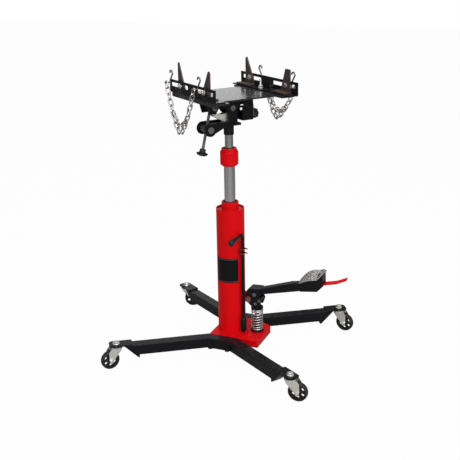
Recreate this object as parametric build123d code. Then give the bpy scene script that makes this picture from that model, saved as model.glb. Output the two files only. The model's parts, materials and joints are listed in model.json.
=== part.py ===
"""Two-stage hydraulic transmission jack with a tilting saddle.

Millimetres, +Z up.  The origin is on the floor under the column axis, +X points to the foot
pump and -Y to the front leg.  Saddle pieces are drawn in a frame turned by SADDLE_YAW about
the column: u across the two brackets, v along them.
"""
from build123d import *
import math
import os

# ---- running clearances ----
RUN = 0.08            # radial running clearance of a shaft in its bore
GAP = 0.3             # free gap between faces of different bodies

# ---- casters ----
WHEEL_R = 38.1
WHEEL_W = 22.0
WHEEL_BORE_R = 5.0
WHEEL_WINDOW_R = 7.0
WHEEL_WINDOW_RING = 22.0
WHEEL_WINDOWS = 6
CASTER_TRAIL = 30.0
CASTER_X = 367.0
CASTER_Y = 328.0
CASTER_HEADINGS = {"fl": 234.0, "fr": 1.0, "rr": -10.0, "rl": 25.0}
FORK_PLATE_T = 3.0
FORK_TOP_R = 24.0
FORK_NOSE = 9.0
STEM_R = 6.0
NUT_R = 12.5
NUT_H = 8.0

# ---- leg beams ----
LEG_Z0 = 52.0
LEG_H = 43.0
LEG_W = 45.0
LEG_WALL = 4.0
LEG_Y = 121.5
LEG_KNEE_X = 57.0
END_CAP_T = 6.0
END_CAP_W = 50.0
END_CAP_OUT = 29.0
END_CAP_IN = 63.0
END_RAMP_START = 36.5
END_RAMP_DROP = 11.0
END_RAMP_T = 6.0
LEG_BOLT_X = 36.5
LEG_BOLT_Z = 62.0
LEG_BOLT_R = 11.5
LEG_BOLT_H = 8.0

# ---- base ----
BASE_X0 = -60.0
BASE_X1 = 150.0
BASE_FLANGE = 31.0
BASE_T = 5.0
BASE_CHAMFER_X = 75.0
BASE_CHAMFER_Y = 43.0
BASE_TAB = (4.0, 26.0, 17.0)
BASE_TAB_AT = (82.0, -52.0)

# ---- column ----
COLUMN_R = 56.5
COLUMN_WALL = 5.0
COLUMN_TOP = 614.0
GLAND_RISE = 26.0
LIP_DEPTH = 4.0
HEAD_H = 22.0
GLAND_R = 34.0
GLAND_TOP = COLUMN_TOP + GLAND_RISE
WIPER_H = 6.0
PRESSURE_R = 34.0
PRESSURE_WALL = 6.0
LABEL_Z0 = 311.0
LABEL_Z1 = 414.0
LABEL_A0 = -136.0
LABEL_A1 = -37.0
LABEL_T = 0.8

# ---- rams ----
RAM1_R = 22.0
RAM1_WALL = 4.0
RAM1_SHOWN = 145.0
RAM1_L = 520.0
RAM1_TOP = GLAND_TOP + RAM1_SHOWN
RAM1_Z0 = RAM1_TOP - RAM1_L
PISTON_H = 20.0
COLLAR_R = 36.0
COLLAR_NECK_R = 30.0
COLLAR_H = 72.0
COLLAR_Z1 = RAM1_TOP + COLLAR_H
COLLAR_NECK_H = 8.0
COLLAR_BEVEL = 8.0
COLLAR_WRENCH_FLAT = 1.5
RAM2_R = 16.5
RAM2_SHOWN = 53.0
RAM2_L = 530.0
RAM2_TOP = COLLAR_Z1 + RAM2_SHOWN
RAM2_Z0 = RAM2_TOP - RAM2_L
SPIGOT_R = 11.0
SPIGOT_H = 30.0

# ---- pump and pedal ----
PUMP_STANDOFF = 55.5
PUMP_X = COLUMN_R + PUMP_STANDOFF
SPRING_Z0 = 100.0
SPRING_Z1 = 194.0
SPRING_R = 22.5
SPRING_WIRE_R = 3.0
SPRING_TURNS = 7.0
PUMP_BARREL_R = 16.0
PUMP_BARREL_TOP = 160.0
PLUNGER_R = 9.0
CAP_T = 8.0
ROLLER_R = 10.0
ROLLER_PIN_R = 4.0
PIVOT_STANDOFF = 27.5
PIVOT_X = COLUMN_R + PIVOT_STANDOFF
PIVOT_Z = 239.0
DRAWN_PIVOT_X = 84.0
DRAWN_PIVOT_Z = 239.0
PIVOT_R = 8.0
BOSS_R = 12.5
LUG_IN = 10.0
LUG_OUT = 16.0
LUG_R = 13.0
CHEEK_IN = 18.0
CHEEK_OUT = 24.0
ARM_HALF_W = 17.0
PAD_T = 4.0
TAIL_HALF_W = 13.0
TAIL_T = 7.0
YOKE_BOLT_R = 5.0

# ---- release rod ----
ROD_R = 6.0
ROD_ANGLE = -23.962
SLEEVE_R = 12.0
SLEEVE_GAP = 0.442
ROD_Z0 = 103.0
ROD_TOP = 517.0
ROD_REACH = 80.0
ROD_BEND = 16.0
GRIP_L = 74.0
GRIP_R = 12.5
SLEEVE_TOP = 150.0
ROD_OFF = COLUMN_R + SLEEVE_GAP + SLEEVE_R
ROD_X = ROD_OFF * math.cos(math.radians(ROD_ANGLE))
ROD_Y = ROD_OFF * math.sin(math.radians(ROD_ANGLE))
GUIDE_Z = (437.0, 455.0)
GUIDE_T = 4.0
GUIDE_W = 26.0

# ---- saddle ----
SADDLE_YAW = 53.0
SADDLE_SEAT_Z = 910.0
POST_R = 20.0
POST_TOP = 948.0
HEAD_PLATE_T = 9.0
TABLE_TOP = 1066.0
TABLE_T = 6.0
TABLE_LIP = 11.0
DECK_RISE = 0.5        # deck between the bracket seats stands this much proud of them
TABLE_WAIST_U0 = -95.0
TABLE_WAIST_U1 = 128.0
TABLE_U0 = -150.0
TABLE_U1 = 184.0
TABLE_WAIST_V = 130.0
TABLE_END_V = 176.0
SIDE_AXIS_Z = 1051.0
BRACKET_H = 50.0
BRACKET_T = 5.0
BRACKET_FOOT = 45.0
LEFT_OUTER_U = -154.0
RIGHT_OUTER_U = 186.0
LEFT_V = (-170.0, 186.0)
RIGHT_V = (-200.0, 204.0)
SLOT_W = 15.0
SLOT_Z = 1098.0
LEFT_SLOTS = ((-157.0, -37.0), (36.0, 175.0))
RIGHT_SLOTS = ((-186.0, -32.0), (51.0, 190.0))
ARM_T = 5.0
ARM_FOOT = 34.0
ARM_BOLT_R = 5.0
CHAIN_WIRE_R = 2.4
CHAIN_LINK_L = 34.0
CHAIN_LINK_W = 21.5
CHAIN_SLACK = 0.9
CHAIN_OUT = 20.0
CHAINS = {
    "left": (-50.0, 176.0, 72.0, 1107.0, 917.0),
    "right": (-154.0, 58.0, -22.0, 1093.0, 954.0),
}
HOOK_R = 3.0
HOOK_LEAN = {"left": (-1, -1), "right": (-1, 1)}


def at(x, y, z):
    """Move to a point of the part's frame."""
    return Location((x, y, z))


def rod_z(r, z0, z1, x=0.0, y=0.0):
    """Upright round bar between two heights."""
    return at(x, y, z0) * Cylinder(r, z1 - z0, align=(Align.CENTER, Align.CENTER, Align.MIN))


def rod_y(r, y0, y1, x, z):
    """Round bar along Y."""
    return at(x, (y0 + y1) / 2, z) * Rotation(90, 0, 0) * Cylinder(r, y1 - y0)


def rod_x(r, x0, x1, y, z):
    """Round bar along X."""
    return at((x0 + x1) / 2, y, z) * Rotation(0, 90, 0) * Cylinder(r, x1 - x0)


def block(x0, x1, y0, y1, z0, z1):
    """Rectangular block between two corners."""
    return at((x0 + x1) / 2, (y0 + y1) / 2, (z0 + z1) / 2) * Box(x1 - x0, y1 - y0, z1 - z0)


def slab_z(points, z0, z1):
    """Flat plate with an outline in XY."""
    face = make_face(Polyline(*points, close=True))
    return extrude(at(0, 0, z0) * face, amount=z1 - z0, dir=(0, 0, 1))


def slab_y(points, y0, y1):
    """Flat plate with an outline in XZ, standing across Y."""
    outline = Polyline(*[(x, y0, z) for x, z in points], close=True)
    return extrude(make_face(outline), amount=y1 - y0, dir=(0, 1, 0))


def slab_x(points, x0, x1):
    """Flat plate with an outline in YZ, standing across X."""
    outline = Polyline(*[(x0, y, z) for y, z in points], close=True)
    return extrude(make_face(outline), amount=x1 - x0, dir=(1, 0, 0))


def hexagon_z(r, z0, z1, x=0.0, y=0.0):
    """Hexagonal prism for a nut or bolt head."""
    return extrude(at(x, y, z0) * RegularPolygon(r, 6), amount=z1 - z0, dir=(0, 0, 1))


def turned(profile):
    """Solid of revolution about Z from (radius, height) points."""
    outline = Polyline(*[(r, 0, z) for r, z in profile], close=True)
    return revolve(make_face(outline), Axis.Z, 360)


def in_pedal(solid):
    """Move a pedal piece from its own drawing to the fulcrum."""
    return at(PIVOT_X - DRAWN_PIVOT_X, 0, PIVOT_Z - DRAWN_PIVOT_Z) * solid


def save(name, *solids):
    """Write one named node; several solids stay separate in the same file."""
    shapes = []
    for solid in solids:
        shapes.extend(solid.solids())
    whole = shapes[0] if len(shapes) == 1 else Compound(children=shapes)
    export_step(whole, f"parts/{name}.step")


def in_saddle(solid):
    """Turn a piece drawn in saddle coordinates (u, v, z) and set it on the inner ram's top."""
    return at(0, 0, RAM2_TOP - SADDLE_SEAT_Z) * Rotation(0, 0, SADDLE_YAW) * solid


# =====================================================================
# Base
# =====================================================================
LEG_TOP = LEG_Z0 + LEG_H
BASE_Y = LEG_Y - LEG_W / 2


def leg_angle():
    """Splay of a leg away from the X axis, in degrees."""
    return math.degrees(math.atan2(CASTER_Y - LEG_Y, CASTER_X - LEG_KNEE_X))


def leg_run():
    """Length of the splayed centre line from the knee to the caster pivot."""
    return math.hypot(CASTER_X - LEG_KNEE_X, CASTER_Y - LEG_Y)


def leg_frame(sx, sy):
    """Frame at a caster pivot with local +X pointing in along the leg to its knee."""
    turn = math.degrees(math.atan2(sy * (LEG_Y - CASTER_Y), sx * (LEG_KNEE_X - CASTER_X)))
    return at(sx * CASTER_X, sy * CASTER_Y, 0) * Rotation(0, 0, turn)


def beam_outline(half, sy):
    """Plan outline of a bent beam whose knees are mitred, half its width each side."""
    knee = half * math.tan(math.radians(leg_angle() / 2))
    ux = (CASTER_X - LEG_KNEE_X) / leg_run()
    uy = (CASTER_Y - LEG_Y) / leg_run()
    out = (-CASTER_X + half * -uy, -CASTER_Y + half * ux)
    inn = (-CASTER_X - half * -uy, -CASTER_Y - half * ux)
    upper = [out, (-LEG_KNEE_X - knee, -LEG_Y + half)]
    lower = [(-LEG_KNEE_X + knee, -LEG_Y - half), inn]
    left = upper + [(-x, y) for x, y in reversed(upper)]
    right = [(-x, y) for x, y in reversed(lower)] + lower
    return [(x, -sy * y) for x, y in left + right]


def leg_beam(sy):
    """Bent rectangular tube with both ends cut at the slope of the end ramps."""
    solid = slab_z(beam_outline(LEG_W / 2, sy), LEG_Z0, LEG_TOP)
    solid -= slab_z(beam_outline(LEG_W / 2 - LEG_WALL, sy), LEG_Z0 + LEG_WALL, LEG_TOP - LEG_WALL)
    for sx in (-1, 1):
        cut_in = END_RAMP_START + LEG_H
        wedge = [(-2 * LEG_W, LEG_TOP), (END_RAMP_START, LEG_TOP), (cut_in, LEG_Z0), (-2 * LEG_W, LEG_Z0)]
        solid -= leg_frame(sx, sy) * slab_y(wedge, -LEG_W, LEG_W)
        plug = [
            (END_RAMP_START, LEG_TOP),
            (END_RAMP_START + LEG_WALL, LEG_TOP),
            (cut_in + LEG_WALL, LEG_Z0),
            (cut_in, LEG_Z0),
        ]
        solid += leg_frame(sx, sy) * slab_y(plug, -LEG_W / 2, LEG_W / 2)
    return solid


def leg_end(sx, sy):
    """Caster plate on top of a leg end, with the sloping ramp that closes the tube."""
    half = END_CAP_W / 2
    corner = END_CAP_W / 6
    plan = [
        (-END_CAP_OUT, -half + corner),
        (-END_CAP_OUT + corner, -half),
        (END_CAP_IN, -half),
        (END_CAP_IN, half),
        (-END_CAP_OUT + corner, half),
        (-END_CAP_OUT, half - corner),
    ]
    plate = slab_z(plan, LEG_TOP, LEG_TOP + END_CAP_T)
    plate -= rod_z(STEM_R, LEG_TOP - 1, LEG_TOP + END_CAP_T + 1)
    start = END_RAMP_START - END_RAMP_T
    tip = LEG_H + END_RAMP_DROP
    ramp = [
        (start, LEG_TOP),
        (END_RAMP_START, LEG_TOP),
        (END_RAMP_START + LEG_H, LEG_Z0),
        (END_RAMP_START + tip, LEG_Z0),
        (END_RAMP_START + tip, LEG_TOP - tip),
        (start + tip, LEG_TOP - tip),
    ]
    return leg_frame(sx, sy) * (plate + slab_y(ramp, -LEG_W / 2, LEG_W / 2))


def base_box():
    """Folded base tray with a clipped rear corner and a small upright tab."""
    def tray(inset, z0, z1):
        points = [
            (BASE_X0 + inset, -BASE_Y + inset),
            (BASE_X1 - inset, -BASE_Y + inset),
            (BASE_X1 - inset, BASE_Y - BASE_CHAMFER_Y - inset / 2),
            (BASE_X1 - (BASE_X1 - BASE_CHAMFER_X) - inset / 2, BASE_Y - inset),
            (BASE_X0 + inset, BASE_Y - inset),
        ]
        return slab_z(points, z0, z1)

    solid = tray(0, LEG_TOP - BASE_FLANGE, LEG_TOP)
    solid -= tray(BASE_T, LEG_TOP - BASE_FLANGE - 1, LEG_TOP - BASE_T)
    tab_t, tab_w, tab_h = BASE_TAB
    x, y = BASE_TAB_AT
    solid += block(x, x + tab_t, y - tab_w / 2, y + tab_w / 2, LEG_TOP - BASE_T, LEG_TOP + tab_h)
    return solid


def leg_bolts():
    """Hexagon bolt heads with washers on the outer beam faces, two a side."""
    heads = []
    for sy in (-1, 1):
        face = LEG_Y + LEG_W / 2
        for sx in (-1, 1):
            washer = rod_z(LEG_BOLT_R + 1.5, 0, 2)
            head = hexagon_z(LEG_BOLT_R, 2, LEG_BOLT_H)
            place = at(sx * LEG_BOLT_X, sy * face, LEG_BOLT_Z) * Rotation(-90 * sy, 0, 0)
            heads.append(place * (washer + head))
    return heads


# =====================================================================
# Casters
# =====================================================================
FORK_TOP = LEG_TOP - 5.5
FORK_GAP = WHEEL_W / 2 + 2.0
FORK_OUT = FORK_GAP + FORK_PLATE_T


def caster_frame(corner):
    """Frame at one caster pivot; local +X trails towards the wheel."""
    sx = -1 if corner[1] == "l" else 1
    sy = -1 if corner[0] == "f" else 1
    return at(sx * CASTER_X, sy * CASTER_Y, 0) * Rotation(0, 0, CASTER_HEADINGS[corner])


def caster_race():
    """Fixed upper race under the leg plate."""
    ring = turned([
        (STEM_R, FORK_TOP + GAP),
        (FORK_TOP_R - 6, FORK_TOP + GAP),
        (FORK_TOP_R - 1, FORK_TOP + 2),
        (FORK_TOP_R - 1, LEG_TOP),
        (STEM_R, LEG_TOP),
    ])
    return ring


def caster_stem():
    """King bolt through the fork, the race and the leg plate."""
    head = FORK_TOP - FORK_PLATE_T - 2 - GAP
    return turned([
        (0, head - 3.5),
        (STEM_R + 4, head - 3.5),
        (STEM_R + 4, head),
        (STEM_R, head),
        (STEM_R, LEG_TOP + END_CAP_T + NUT_H + 3),
        (0, LEG_TOP + END_CAP_T + NUT_H + 3),
    ])


def caster_nut():
    """Hexagon nut and washer that clamp the king bolt to the leg plate."""
    z0 = LEG_TOP + END_CAP_T
    nut = rod_z(NUT_R + 2, z0, z0 + 2) + hexagon_z(NUT_R, z0 + 2, z0 + 2 + NUT_H - 1)
    return nut - rod_z(STEM_R, z0 - 1, z0 + NUT_H + 3)


def caster_fork():
    """Pressed fork: round top, one upright and one slanted edge, pointed below the axle."""
    z1 = FORK_TOP
    z0 = FORK_TOP - FORK_PLATE_T - 2
    top = rod_z(FORK_TOP_R, z0, z1)
    top += block(0, CASTER_TRAIL, -FORK_OUT, FORK_OUT, z0, z0 + FORK_PLATE_T)
    outline = [
        (-18, z0),
        (CASTER_TRAIL, z0),
        (CASTER_TRAIL + FORK_NOSE, z0 - 12),
        (CASTER_TRAIL + FORK_NOSE, WHEEL_R - 2),
        (CASTER_TRAIL + 4, WHEEL_R - 12),
        (CASTER_TRAIL - 4, WHEEL_R - 12),
        (CASTER_TRAIL - 10, WHEEL_R - 2),
        (-14, z0 - 10),
    ]
    for side in (-1, 1):
        y0 = FORK_GAP if side > 0 else -FORK_OUT
        top += slab_y(outline, y0, y0 + FORK_PLATE_T)
        top += block(-18, CASTER_TRAIL, min(side * FORK_GAP, side * FORK_OUT),
                     max(side * FORK_GAP, side * FORK_OUT), z0 - 0.5, z0 + 1)
    bore = rod_y(WHEEL_BORE_R, -FORK_OUT - 1, FORK_OUT + 1, CASTER_TRAIL, WHEEL_R)
    return top - bore - rod_z(STEM_R + RUN, z0 - 1, z1 + 1)


def caster_axle():
    """Axle bolt with a head one side and a nut the other."""
    shaft = rod_y(WHEEL_BORE_R, -FORK_OUT - 5, FORK_OUT + 6, CASTER_TRAIL, WHEEL_R)
    for side in (-1, 1):
        place = at(CASTER_TRAIL, side * FORK_OUT, WHEEL_R) * Rotation(-90 * side, 0, 0)
        shaft += place * hexagon_z(WHEEL_BORE_R + 3.4, 0, 4)
    return shaft


def caster_wheel():
    """Solid wheel with round windows between rim and hub."""
    half = WHEEL_W / 2
    disc = turned([
        (WHEEL_BORE_R + RUN, -half),
        (WHEEL_R - 3, -half),
        (WHEEL_R, -half + 4),
        (WHEEL_R, half - 4),
        (WHEEL_R - 3, half),
        (WHEEL_BORE_R + RUN, half),
    ])
    for k in range(WHEEL_WINDOWS):
        turn = math.radians(360 / WHEEL_WINDOWS * (k + 0.5))
        x = WHEEL_WINDOW_RING * math.cos(turn)
        y = WHEEL_WINDOW_RING * math.sin(turn)
        disc -= rod_z(WHEEL_WINDOW_R, -half - 1, half + 1, x, y)
    return at(CASTER_TRAIL, 0, WHEEL_R) * Rotation(90, 0, 0) * disc


def make_base():
    """Write the base, leg and caster nodes."""
    save("base_box", base_box())
    save("front_leg", leg_beam(-1))
    save("rear_leg", leg_beam(1))
    sides = [(sx, sy) for sy in (-1, 1) for sx in (-1, 1)]
    save("leg_end_plates", *[leg_end(sx, sy) for sx, sy in sides])
    save("leg_bolts", *leg_bolts())
    corners = list(CASTER_HEADINGS)
    save("caster_races", *[caster_frame(c) * caster_race() for c in corners])
    bolts = [caster_frame(c) * piece for c in corners for piece in (caster_stem(), caster_nut())]
    save("caster_king_bolts", *bolts)
    for corner in corners:
        frame = caster_frame(corner)
        save(f"caster_fork_{corner}", frame * caster_fork(), frame * caster_axle())
        save(f"caster_wheel_{corner}", frame * caster_wheel())


# =====================================================================
# Column and rams
# =====================================================================
def column_tube():
    """Reservoir tube with a raised lip round the head."""
    return rod_z(COLUMN_R, LEG_TOP, COLUMN_TOP) - rod_z(COLUMN_R - COLUMN_WALL, LEG_TOP - 1, COLUMN_TOP + 1)


def column_head():
    """Head set just under the lip, with the gland boss that guides the outer ram."""
    seat = COLUMN_TOP - LIP_DEPTH
    solid = rod_z(COLUMN_R - COLUMN_WALL, seat - HEAD_H, seat) + rod_z(GLAND_R, seat, GLAND_TOP)
    solid -= rod_z(RAM1_R + RUN, seat - HEAD_H - 1, GLAND_TOP + 1)
    return solid - rod_z(RAM1_R + 5, GLAND_TOP - WIPER_H, GLAND_TOP + 1)


def pressure_tube():
    """Inner cylinder that the outer ram's piston runs in."""
    top = COLUMN_TOP - LIP_DEPTH - HEAD_H
    return rod_z(PRESSURE_R, LEG_TOP, top) - rod_z(PRESSURE_R - PRESSURE_WALL, LEG_TOP - 1, top + 1)


def column_wiper():
    """Wiper ring pressed in the gland."""
    z0 = GLAND_TOP - WIPER_H
    return rod_z(RAM1_R + 5, z0, GLAND_TOP + 1) - rod_z(RAM1_R + RUN, z0 - 1, GLAND_TOP + 3)


def arc_plate(r0, r1, a0, a1, z0, z1):
    """Curved plate between two radii and two angles about Z."""
    ring = rod_z(r1, z0, z1) - rod_z(r0, z0 - 1, z1 + 1)
    far = 3 * r1
    mid = math.radians((a0 + a1) / 2)
    wedge = [(0, 0)]
    for turn in (math.radians(a0), mid, math.radians(a1)):
        wedge.append((far * math.cos(turn), far * math.sin(turn)))
    return ring & slab_z(wedge, z0, z1)


def label_plate():
    """Bare name plate wrapped on the column."""
    return arc_plate(COLUMN_R + 0.05, COLUMN_R + LABEL_T, LABEL_A0, LABEL_A1, LABEL_Z0, LABEL_Z1)


def ram_outer_tube():
    """Chromed outer ram."""
    bar = rod_z(RAM1_R, RAM1_Z0, RAM1_TOP)
    return bar - rod_z(RAM1_R - RAM1_WALL, RAM1_Z0 - 1, RAM1_TOP + 1)


def ram_outer_piston():
    """Piston on the foot of the outer ram, running in the pressure tube."""
    return rod_z(PRESSURE_R - PRESSURE_WALL - RUN, RAM1_Z0 - PISTON_H, RAM1_Z0)


def ram_collar():
    """Gland nut on top of the outer ram: bevelled foot, knurled waist, plain neck."""
    neck = COLLAR_Z1 - COLLAR_NECK_H
    body = turned([
        (RAM2_R + RUN, RAM1_TOP),
        (COLLAR_R - COLLAR_BEVEL, RAM1_TOP),
        (COLLAR_R, RAM1_TOP + COLLAR_BEVEL),
        (COLLAR_R, neck - COLLAR_BEVEL),
        (COLLAR_NECK_R + 1.5, neck),
        (COLLAR_NECK_R, neck),
        (COLLAR_NECK_R, COLLAR_Z1),
        (RAM2_R + RUN, COLLAR_Z1),
    ])
    for k in range(8):
        turn = Rotation(0, 0, 45 * k + 22.5)
        flat = block(COLLAR_R - COLLAR_WRENCH_FLAT, COLLAR_R + 9, -8, 8, neck - 26, neck + 1)
        body -= turn * flat
    return body


def ram_inner_rod():
    """Inner ram with the spigot that the saddle head turns on."""
    return rod_z(RAM2_R, RAM2_Z0, RAM2_TOP) + rod_z(SPIGOT_R, RAM2_TOP, RAM2_TOP + SPIGOT_H)


def ram_inner_piston():
    """Piston of the inner ram, running inside the outer ram."""
    return rod_z(RAM1_R - RAM1_WALL - RUN, RAM2_Z0 - PISTON_H, RAM2_Z0)


def make_column():
    """Write the column and ram nodes."""
    save("column_tube", column_tube())
    save("column_head", column_head())
    save("pressure_tube", pressure_tube())
    save("column_wiper", column_wiper())
    save("label_plate", label_plate())
    save("ram_outer_tube", ram_outer_tube())
    save("ram_outer_piston", ram_outer_piston())
    save("ram_collar", ram_collar())
    save("ram_inner_rod", ram_inner_rod())
    save("ram_inner_piston", ram_inner_piston())


# =====================================================================
# Pump, pedal and release rod
# =====================================================================
ROLLER_X = DRAWN_PIVOT_X + 30.0
ROLLER_Z = DRAWN_PIVOT_Z - 16.0
CAP_TOP = PIVOT_Z - DRAWN_PIVOT_Z + ROLLER_Z - ROLLER_R - GAP
PAD_NEAR_V = -34.0
PAD_FAR_V = 30.0
PAD_NEAR = [(296, 336), (315, 347), (340, 357), (372, 363), (392, 380), (408, 402)]
PAD_FAR = [(288, 332), (304, 352), (320, 368), (342, 379), (372, 383), (398, 394)]
ARM_ROOT_X = 134.0


def pump_body():
    """Pump barrel with the flange that the return spring stands on."""
    flange = rod_z(SPRING_R + 4.5, LEG_TOP, SPRING_Z0, PUMP_X)
    barrel = rod_z(PUMP_BARREL_R, SPRING_Z0, PUMP_BARREL_TOP, PUMP_X)
    return flange + barrel - rod_z(PLUNGER_R + RUN, SPRING_Z0, PUMP_BARREL_TOP + 1, PUMP_X)


def pump_plunger():
    """Plunger with the stepped cap that the spring lifts and the roller presses."""
    stem = rod_z(PLUNGER_R, SPRING_Z0 + 15, SPRING_Z1 + 1, PUMP_X)
    cap = rod_z(SPRING_R + 2.5, SPRING_Z1, SPRING_Z1 + CAP_T, PUMP_X)
    crown = rod_z(PUMP_BARREL_R, SPRING_Z1, CAP_TOP, PUMP_X)
    return stem + cap + crown


def pump_spring():
    """Return spring: one wire wound between the flange and the cap."""
    r = SPRING_WIRE_R
    height = SPRING_Z1 - SPRING_Z0 - 2 * r - 0.4
    path = Helix(pitch=height / SPRING_TURNS, height=height, radius=SPRING_R)
    start = Plane(origin=path @ 0, z_dir=path % 0)
    wire = sweep(start * Circle(r), path=path)
    return at(PUMP_X, 0, SPRING_Z0 + r + 0.2) * wire


def pedal_lugs():
    """Two fulcrum lugs welded to the column."""
    lugs = []
    for side in (-1, 1):
        y0 = LUG_IN if side > 0 else -LUG_OUT
        root = COLUMN_R - 11.5
        outline = [(root, PIVOT_Z - 19), (root, PIVOT_Z + 19)]
        outline += [(PIVOT_X, PIVOT_Z + LUG_R), (PIVOT_X, PIVOT_Z - LUG_R)]
        lug = slab_y(outline, y0, y0 + LUG_OUT - LUG_IN)
        lug += rod_y(LUG_R, y0, y0 + LUG_OUT - LUG_IN, PIVOT_X, PIVOT_Z)
        lug -= rod_y(PIVOT_R, -LUG_OUT - 1, LUG_OUT + 1, PIVOT_X, PIVOT_Z)
        lugs.append(lug - rod_z(COLUMN_R, PIVOT_Z - 40, PIVOT_Z + 40))
    return lugs


def pivot_pin():
    """Fulcrum pin fixed in the lugs."""
    return rod_y(PIVOT_R, -CHEEK_OUT - 9, CHEEK_OUT + 9, PIVOT_X, PIVOT_Z)


def pivot_bosses():
    """Retaining collars outside the yoke cheeks."""
    rings = []
    for side in (-1, 1):
        y0 = CHEEK_OUT + GAP if side > 0 else -CHEEK_OUT - GAP - 7
        ring = rod_y(BOSS_R, y0, y0 + 7, PIVOT_X, PIVOT_Z)
        rings.append(ring - rod_y(PIVOT_R, y0 - 1, y0 + 8, PIVOT_X, PIVOT_Z))
    return rings


def pedal_yoke():
    """Cast yoke: two cheeks joined over the top and round the root of the arm."""
    cheek = [
        (71, 236), (71, 256), (78, 278), (86, 286), (ARM_ROOT_X, 288), (ARM_ROOT_X, 262),
        (128, 255), (137, 246), (139, 238), (137, 228), (130, 211), (94, 211), (86, 217),
    ]
    solid = None
    for side in (-1, 1):
        y0 = CHEEK_IN if side > 0 else -CHEEK_OUT
        plate = slab_y(cheek, y0, y0 + CHEEK_OUT - CHEEK_IN)
        solid = plate if solid is None else solid + plate
    roof = [(78, 278), (86, 286), (ARM_ROOT_X, 288), (ARM_ROOT_X, 262), (124, 262), (124, 279), (90, 277)]
    solid += slab_y(roof, -CHEEK_IN, CHEEK_IN)
    solid -= rod_y(PIVOT_R + RUN, -CHEEK_OUT - 1, CHEEK_OUT + 1, DRAWN_PIVOT_X, DRAWN_PIVOT_Z)
    for x, z, r in yoke_bolt_places():
        solid -= rod_y(r, -CHEEK_OUT - 1, CHEEK_OUT + 1, x, z)
    return solid


def yoke_bolt_places():
    """Cross bolt, roller pin and ear bolt as (x, z, radius)."""
    return [(110.0, 262.0, YOKE_BOLT_R), (ROLLER_X, ROLLER_Z, ROLLER_PIN_R), (131.0, 238.0, ROLLER_PIN_R)]


def yoke_bolts():
    """Bolts through both cheeks, with hexagon heads."""
    bolts = []
    for x, z, r in yoke_bolt_places():
        bolt = rod_y(r, -CHEEK_OUT - 2, CHEEK_OUT + 2, x, z)
        for side in (-1, 1):
            place = at(x, side * CHEEK_OUT, z) * Rotation(-90 * side, 0, 0)
            bolt += place * hexagon_z(1.7 * r, 0, 4.5)
        bolts.append(bolt)
    return bolts


def pump_roller():
    """Roller between the cheeks that presses the plunger cap."""
    tube = rod_y(ROLLER_R, -12, 12, ROLLER_X, ROLLER_Z)
    return tube - rod_y(ROLLER_PIN_R + RUN, -13, 13, ROLLER_X, ROLLER_Z)


def above_pad(lift):
    """Space above the foot pad's underside, raised by lift."""
    sections = []
    for y, profile in ((PAD_NEAR_V - 0.5, PAD_NEAR), (PAD_FAR_V + 0.5, PAD_FAR)):
        points = [(x, y, z + lift) for x, z in profile]
        points = [(260, y, points[0][2] - 6)] + points + [(440, y, points[-1][2] + 30)]
        points += [(440, y, 520), (260, y, 520)]
        sections.append(make_face(Polyline(*points, close=True)))
    return loft(sections, ruled=True)


def pad_plan():
    """Plan outline of the foot pad, pointed at its outer end."""
    return [
        (296, PAD_NEAR_V + 8), (306, PAD_NEAR_V), (378, PAD_NEAR_V), (404, -6), (402, 6),
        (384, PAD_FAR_V), (302, PAD_FAR_V), (292, PAD_FAR_V - 8),
    ]


def pedal_pad():
    """Foot plate, rolled up at the far side and at its pointed end."""
    plate = above_pad(0) - above_pad(PAD_T)
    return plate & slab_z(pad_plan(), 300, 460)


def pedal_arm():
    """Tapered arm with the flared head under the foot pad."""
    arm = [(ARM_ROOT_X, 287), (300, 341), (322, 307), (ARM_ROOT_X, 263)]
    head = [(302, 302), (372, 311), (395, 336), (392, 400), (302, 400)]
    solid = slab_y(arm, -ARM_HALF_W, ARM_HALF_W) + slab_y(head, -ARM_HALF_W - 6, ARM_HALF_W + 6)
    return solid - above_pad(0)


def pedal_tail():
    """Red flat bar that lengthens the pedal, bent up twice."""
    line = [(388, 343), (445, 357), (484, 375)]
    under = [(x + 1, z - TAIL_T) for x, z in reversed(line)]
    bar = slab_y(line + under, -TAIL_HALF_W, TAIL_HALF_W)
    return bar - pedal_arm()


def release_rod():
    """Release rod: upright in its sleeve, bent over to the front at the top."""
    path = FilletPolyline(
        (ROD_X, ROD_Y, ROD_Z0),
        (ROD_X, ROD_Y, ROD_TOP),
        (ROD_X, ROD_Y - ROD_REACH, ROD_TOP),
        radius=ROD_BEND,
    )
    return sweep(Plane(origin=path @ 0, z_dir=path % 0) * Circle(ROD_R), path=path)


def release_grip():
    """Teardrop grip pushed on the rod's end."""
    y1 = ROD_Y - ROD_REACH + 26
    pear = turned([
        (0, 0), (7.5, 0), (8.5, 20), (10.5, GRIP_L * 0.62), (GRIP_R, GRIP_L - 14),
        (GRIP_R - 1, GRIP_L - 6), (GRIP_R - 4, GRIP_L - 1.5), (GRIP_R - 7, GRIP_L), (0, GRIP_L),
    ])
    grip = at(ROD_X, y1, ROD_TOP) * Rotation(90, 0, 0) * pear
    return grip - rod_y(ROD_R, ROD_Y - ROD_REACH, y1 + 1, ROD_X, ROD_TOP)


def release_sleeve():
    """Valve housing round the foot of the rod."""
    sleeve = rod_z(SLEEVE_R, LEG_TOP, SLEEVE_TOP, ROD_X, ROD_Y)
    sleeve += at(ROD_X, ROD_Y, SLEEVE_TOP) * Cone(SLEEVE_R, SLEEVE_R - 4, 8,
                                                  align=(Align.CENTER, Align.CENTER, Align.MIN))
    return sleeve - rod_z(ROD_R + RUN, ROD_Z0 - 0.5, SLEEVE_TOP + 9, ROD_X, ROD_Y)


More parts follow.
